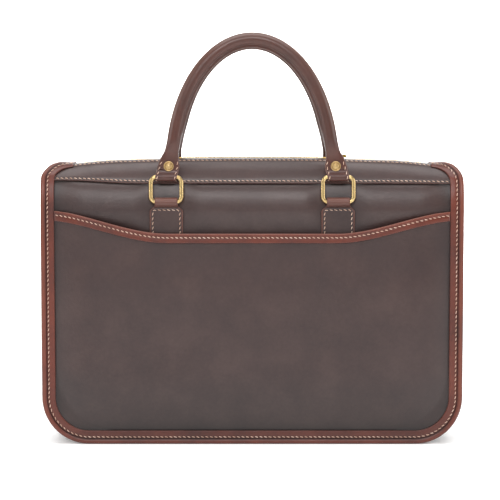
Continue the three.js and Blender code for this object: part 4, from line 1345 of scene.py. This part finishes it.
def stitch_row(points, normals):
    """Points and faces of one row. Each dash follows the path from its start to its end; its height over
    the surface is a half sine less a small sink at the ends, and its radius swells in the middle."""
    centre, measure = along_path(points, STITCH_PITCH)
    t = np.linspace(-1, 1, DASH_RINGS)
    at = (centre[:, None] + t * STITCH_LENGTH / 2).ravel()
    path = read(points, at, measure).reshape(-1, DASH_RINGS, 3)
    normal = unit(read(normals, at, measure).reshape(-1, DASH_RINGS, 3))
    side = np.cross(unit(np.gradient(path, axis=1)), normal)
    lift = THREAD / 2 * (1.25 * np.cos(t * np.pi / 2) ** 0.6 - 0.55)
    radius = THREAD / 2 * (0.62 + 0.38 * np.cos(t * np.pi / 2))
    middle = path + normal * lift[:, None] + side * (t * STITCH_LENGTH / 2 * SLANT)[:, None]
    turn = np.linspace(0, 2 * np.pi, DASH_SIDES + 1)[:-1]
    ring = (normal[:, :, None, :] * np.sin(turn)[:, None]
            + side[:, :, None, :] * np.cos(turn)[:, None])
    tube = middle[:, :, None, :] + ring * radius[:, None, None]
    first_end = np.array([[0, 5, 4, 3], [0, 3, 2, 1]])
    last_end = np.array([[0, 1, 2, 3], [0, 3, 4, 5]]) + (DASH_RINGS - 1) * DASH_SIDES
    dash = np.concatenate([sweep(tube[0]), first_end, last_end])
    faces = dash + (np.arange(len(centre)) * DASH_RINGS * DASH_SIDES)[:, None, None]
    uv = np.stack(np.broadcast_arrays(t[:, None] * STITCH_LENGTH, turn * THREAD), axis=-1)
    return tube.reshape(-1, 3), faces.reshape(-1, 4), np.tile(uv.reshape(-1, 2), (len(centre), 1))


def sew(name, rows, body, back=False):
    """Joins rows of stitches into one piece, with each vertex's place along its dash as the UV map."""
    points, faces, uvs, shift = [], [], [], 0
    for row in rows:
        p, f, uv = stitch_row(*row)
        points.append(p)
        faces.append(f + shift)
        uvs.append(uv)
        shift += len(p)
    points = place(np.concatenate(points), back)
    faces = np.concatenate(faces)
    piece = mesh_object(name, points, facing_out(points, faces))
    layer = piece.data.uv_layers.new(name="along")
    loops = np.empty(len(piece.data.loops), int)
    piece.data.loops.foreach_get("vertex_index", loops)
    layer.data.foreach_set("uv", np.concatenate(uvs)[loops].ravel())
    piece.data.materials.append(thread)
    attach(piece, body)
    print(f"{name}: {len(points) // (DASH_SIDES * DASH_RINGS)} stitches")


def drawn_line(x, s, height):
    """A stitch line on the face map: its points in space and the surface's normals there."""
    points = on_face(x, s, height)
    above = on_face(x, s, height + 1.0)
    return points, above - points


# %% Rows round the faces and along the strips
def binding_row(has_pocket):
    """The row just inside the groove, all round from one end of the zip to the other."""
    at = EDGE - EDGE_OUT * BIND_STITCH
    height = binding_base(EDGE[:, 1], has_pocket) + GAP + (FOLD - 0.3) * binding_end_share()
    return drawn_line(at[:, 0], at[:, 1], height)


def strip_rows():
    """The two rows of a top strip: above the seam and beside the zip."""
    rows = []
    for s in (SEAM + SEAM_STITCH, FACE_LENGTH - ZIP_STITCH):
        half = float(half_width_at(np.array([s]), BAND + 0.6)[0])
        x = np.linspace(-half, half, 240)
        rows.append(drawn_line(x, np.full_like(x, s), strip_top(x, np.full_like(x, s))))
    return rows


def mouth_row():
    """The row along the mouth binding."""
    end = HALF_WIDTH - BAND - GAP - 0.5
    x = np.linspace(-end, end, 300)
    s = mouth_at(x) - LIP_STITCH
    return drawn_line(x, s, pocket_face(x, s) + GAP + FOLD - 0.28)


def tab_row(centre, low):
    """Up one side of a tab's foot, round a small corner, across under the loop and down the other."""
    half = TAB_WIDTH / 2 - TAB_STITCH
    bend = 2.4
    turn = np.radians(np.linspace(0, 90, 8))
    side_s = np.linspace(low, TAB_STITCH_TOP - bend, 30)
    round_corner = bend * np.stack([np.cos(turn), np.sin(turn)], axis=1)
    corner = np.array([half - bend, TAB_STITCH_TOP - bend]) + round_corner
    right = np.concatenate([np.stack([np.full(30, half), side_s], axis=1), corner])
    line = np.concatenate([right, right[::-1] * np.array([-1.0, 1.0])])
    x = line[:, 0] + centre
    return drawn_line(x, line[:, 1], tab_face(x, line[:, 1]) - 0.1)


def tab_rows(low):
    """The rows of both tabs of a face, from a given height upwards."""
    return [tab_row(side * RING_SPACING / 2, low) for side in (-1, 1)]


sew("front_stitching", [binding_row(True), *strip_rows(), mouth_row(), *tab_rows(MOUTH - 6)], "case")
sew("back_stitching", [binding_row(False), *strip_rows(), *tab_rows(TAB_FOOT + 3)], "case", back=True)

# %% Rows on the handles
def handle_rows():
    """Both edges of each flat end, on its outer and inner face, from the roll down round the ring's bar.
    The inner rows lie 0.6 mm deep, so that they clear the case when the handle leans against it."""
    rows = []
    v = np.linspace(UPPER_BAR - 3.0, RIVET_UP + 5.0, 60)
    width = flare(v)[0]
    for side in (-1, 1):
        for edge in (-1, 1):
            for face in (-1, 1):
                x = side * (end_centre(v) + edge * (width - END_STITCH))
                out = face * (end_face(v) - (0.12 if face > 0 else 0.62))
                points = handle_place(x, v, out)
                rows.append((points, handle_place(x, v, out + face) - points))
    return rows


for word, back in FACES:
    sew(f"{word}_handle_stitching", handle_rows(), f"{word}_grip", back=back)
print("stitching done")


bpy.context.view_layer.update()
total = sum(2 * len(o.data.polygons) for o in bpy.data.objects if o.type == "MESH" and o.get("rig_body"))
print("about", total, "triangles ride on the case")
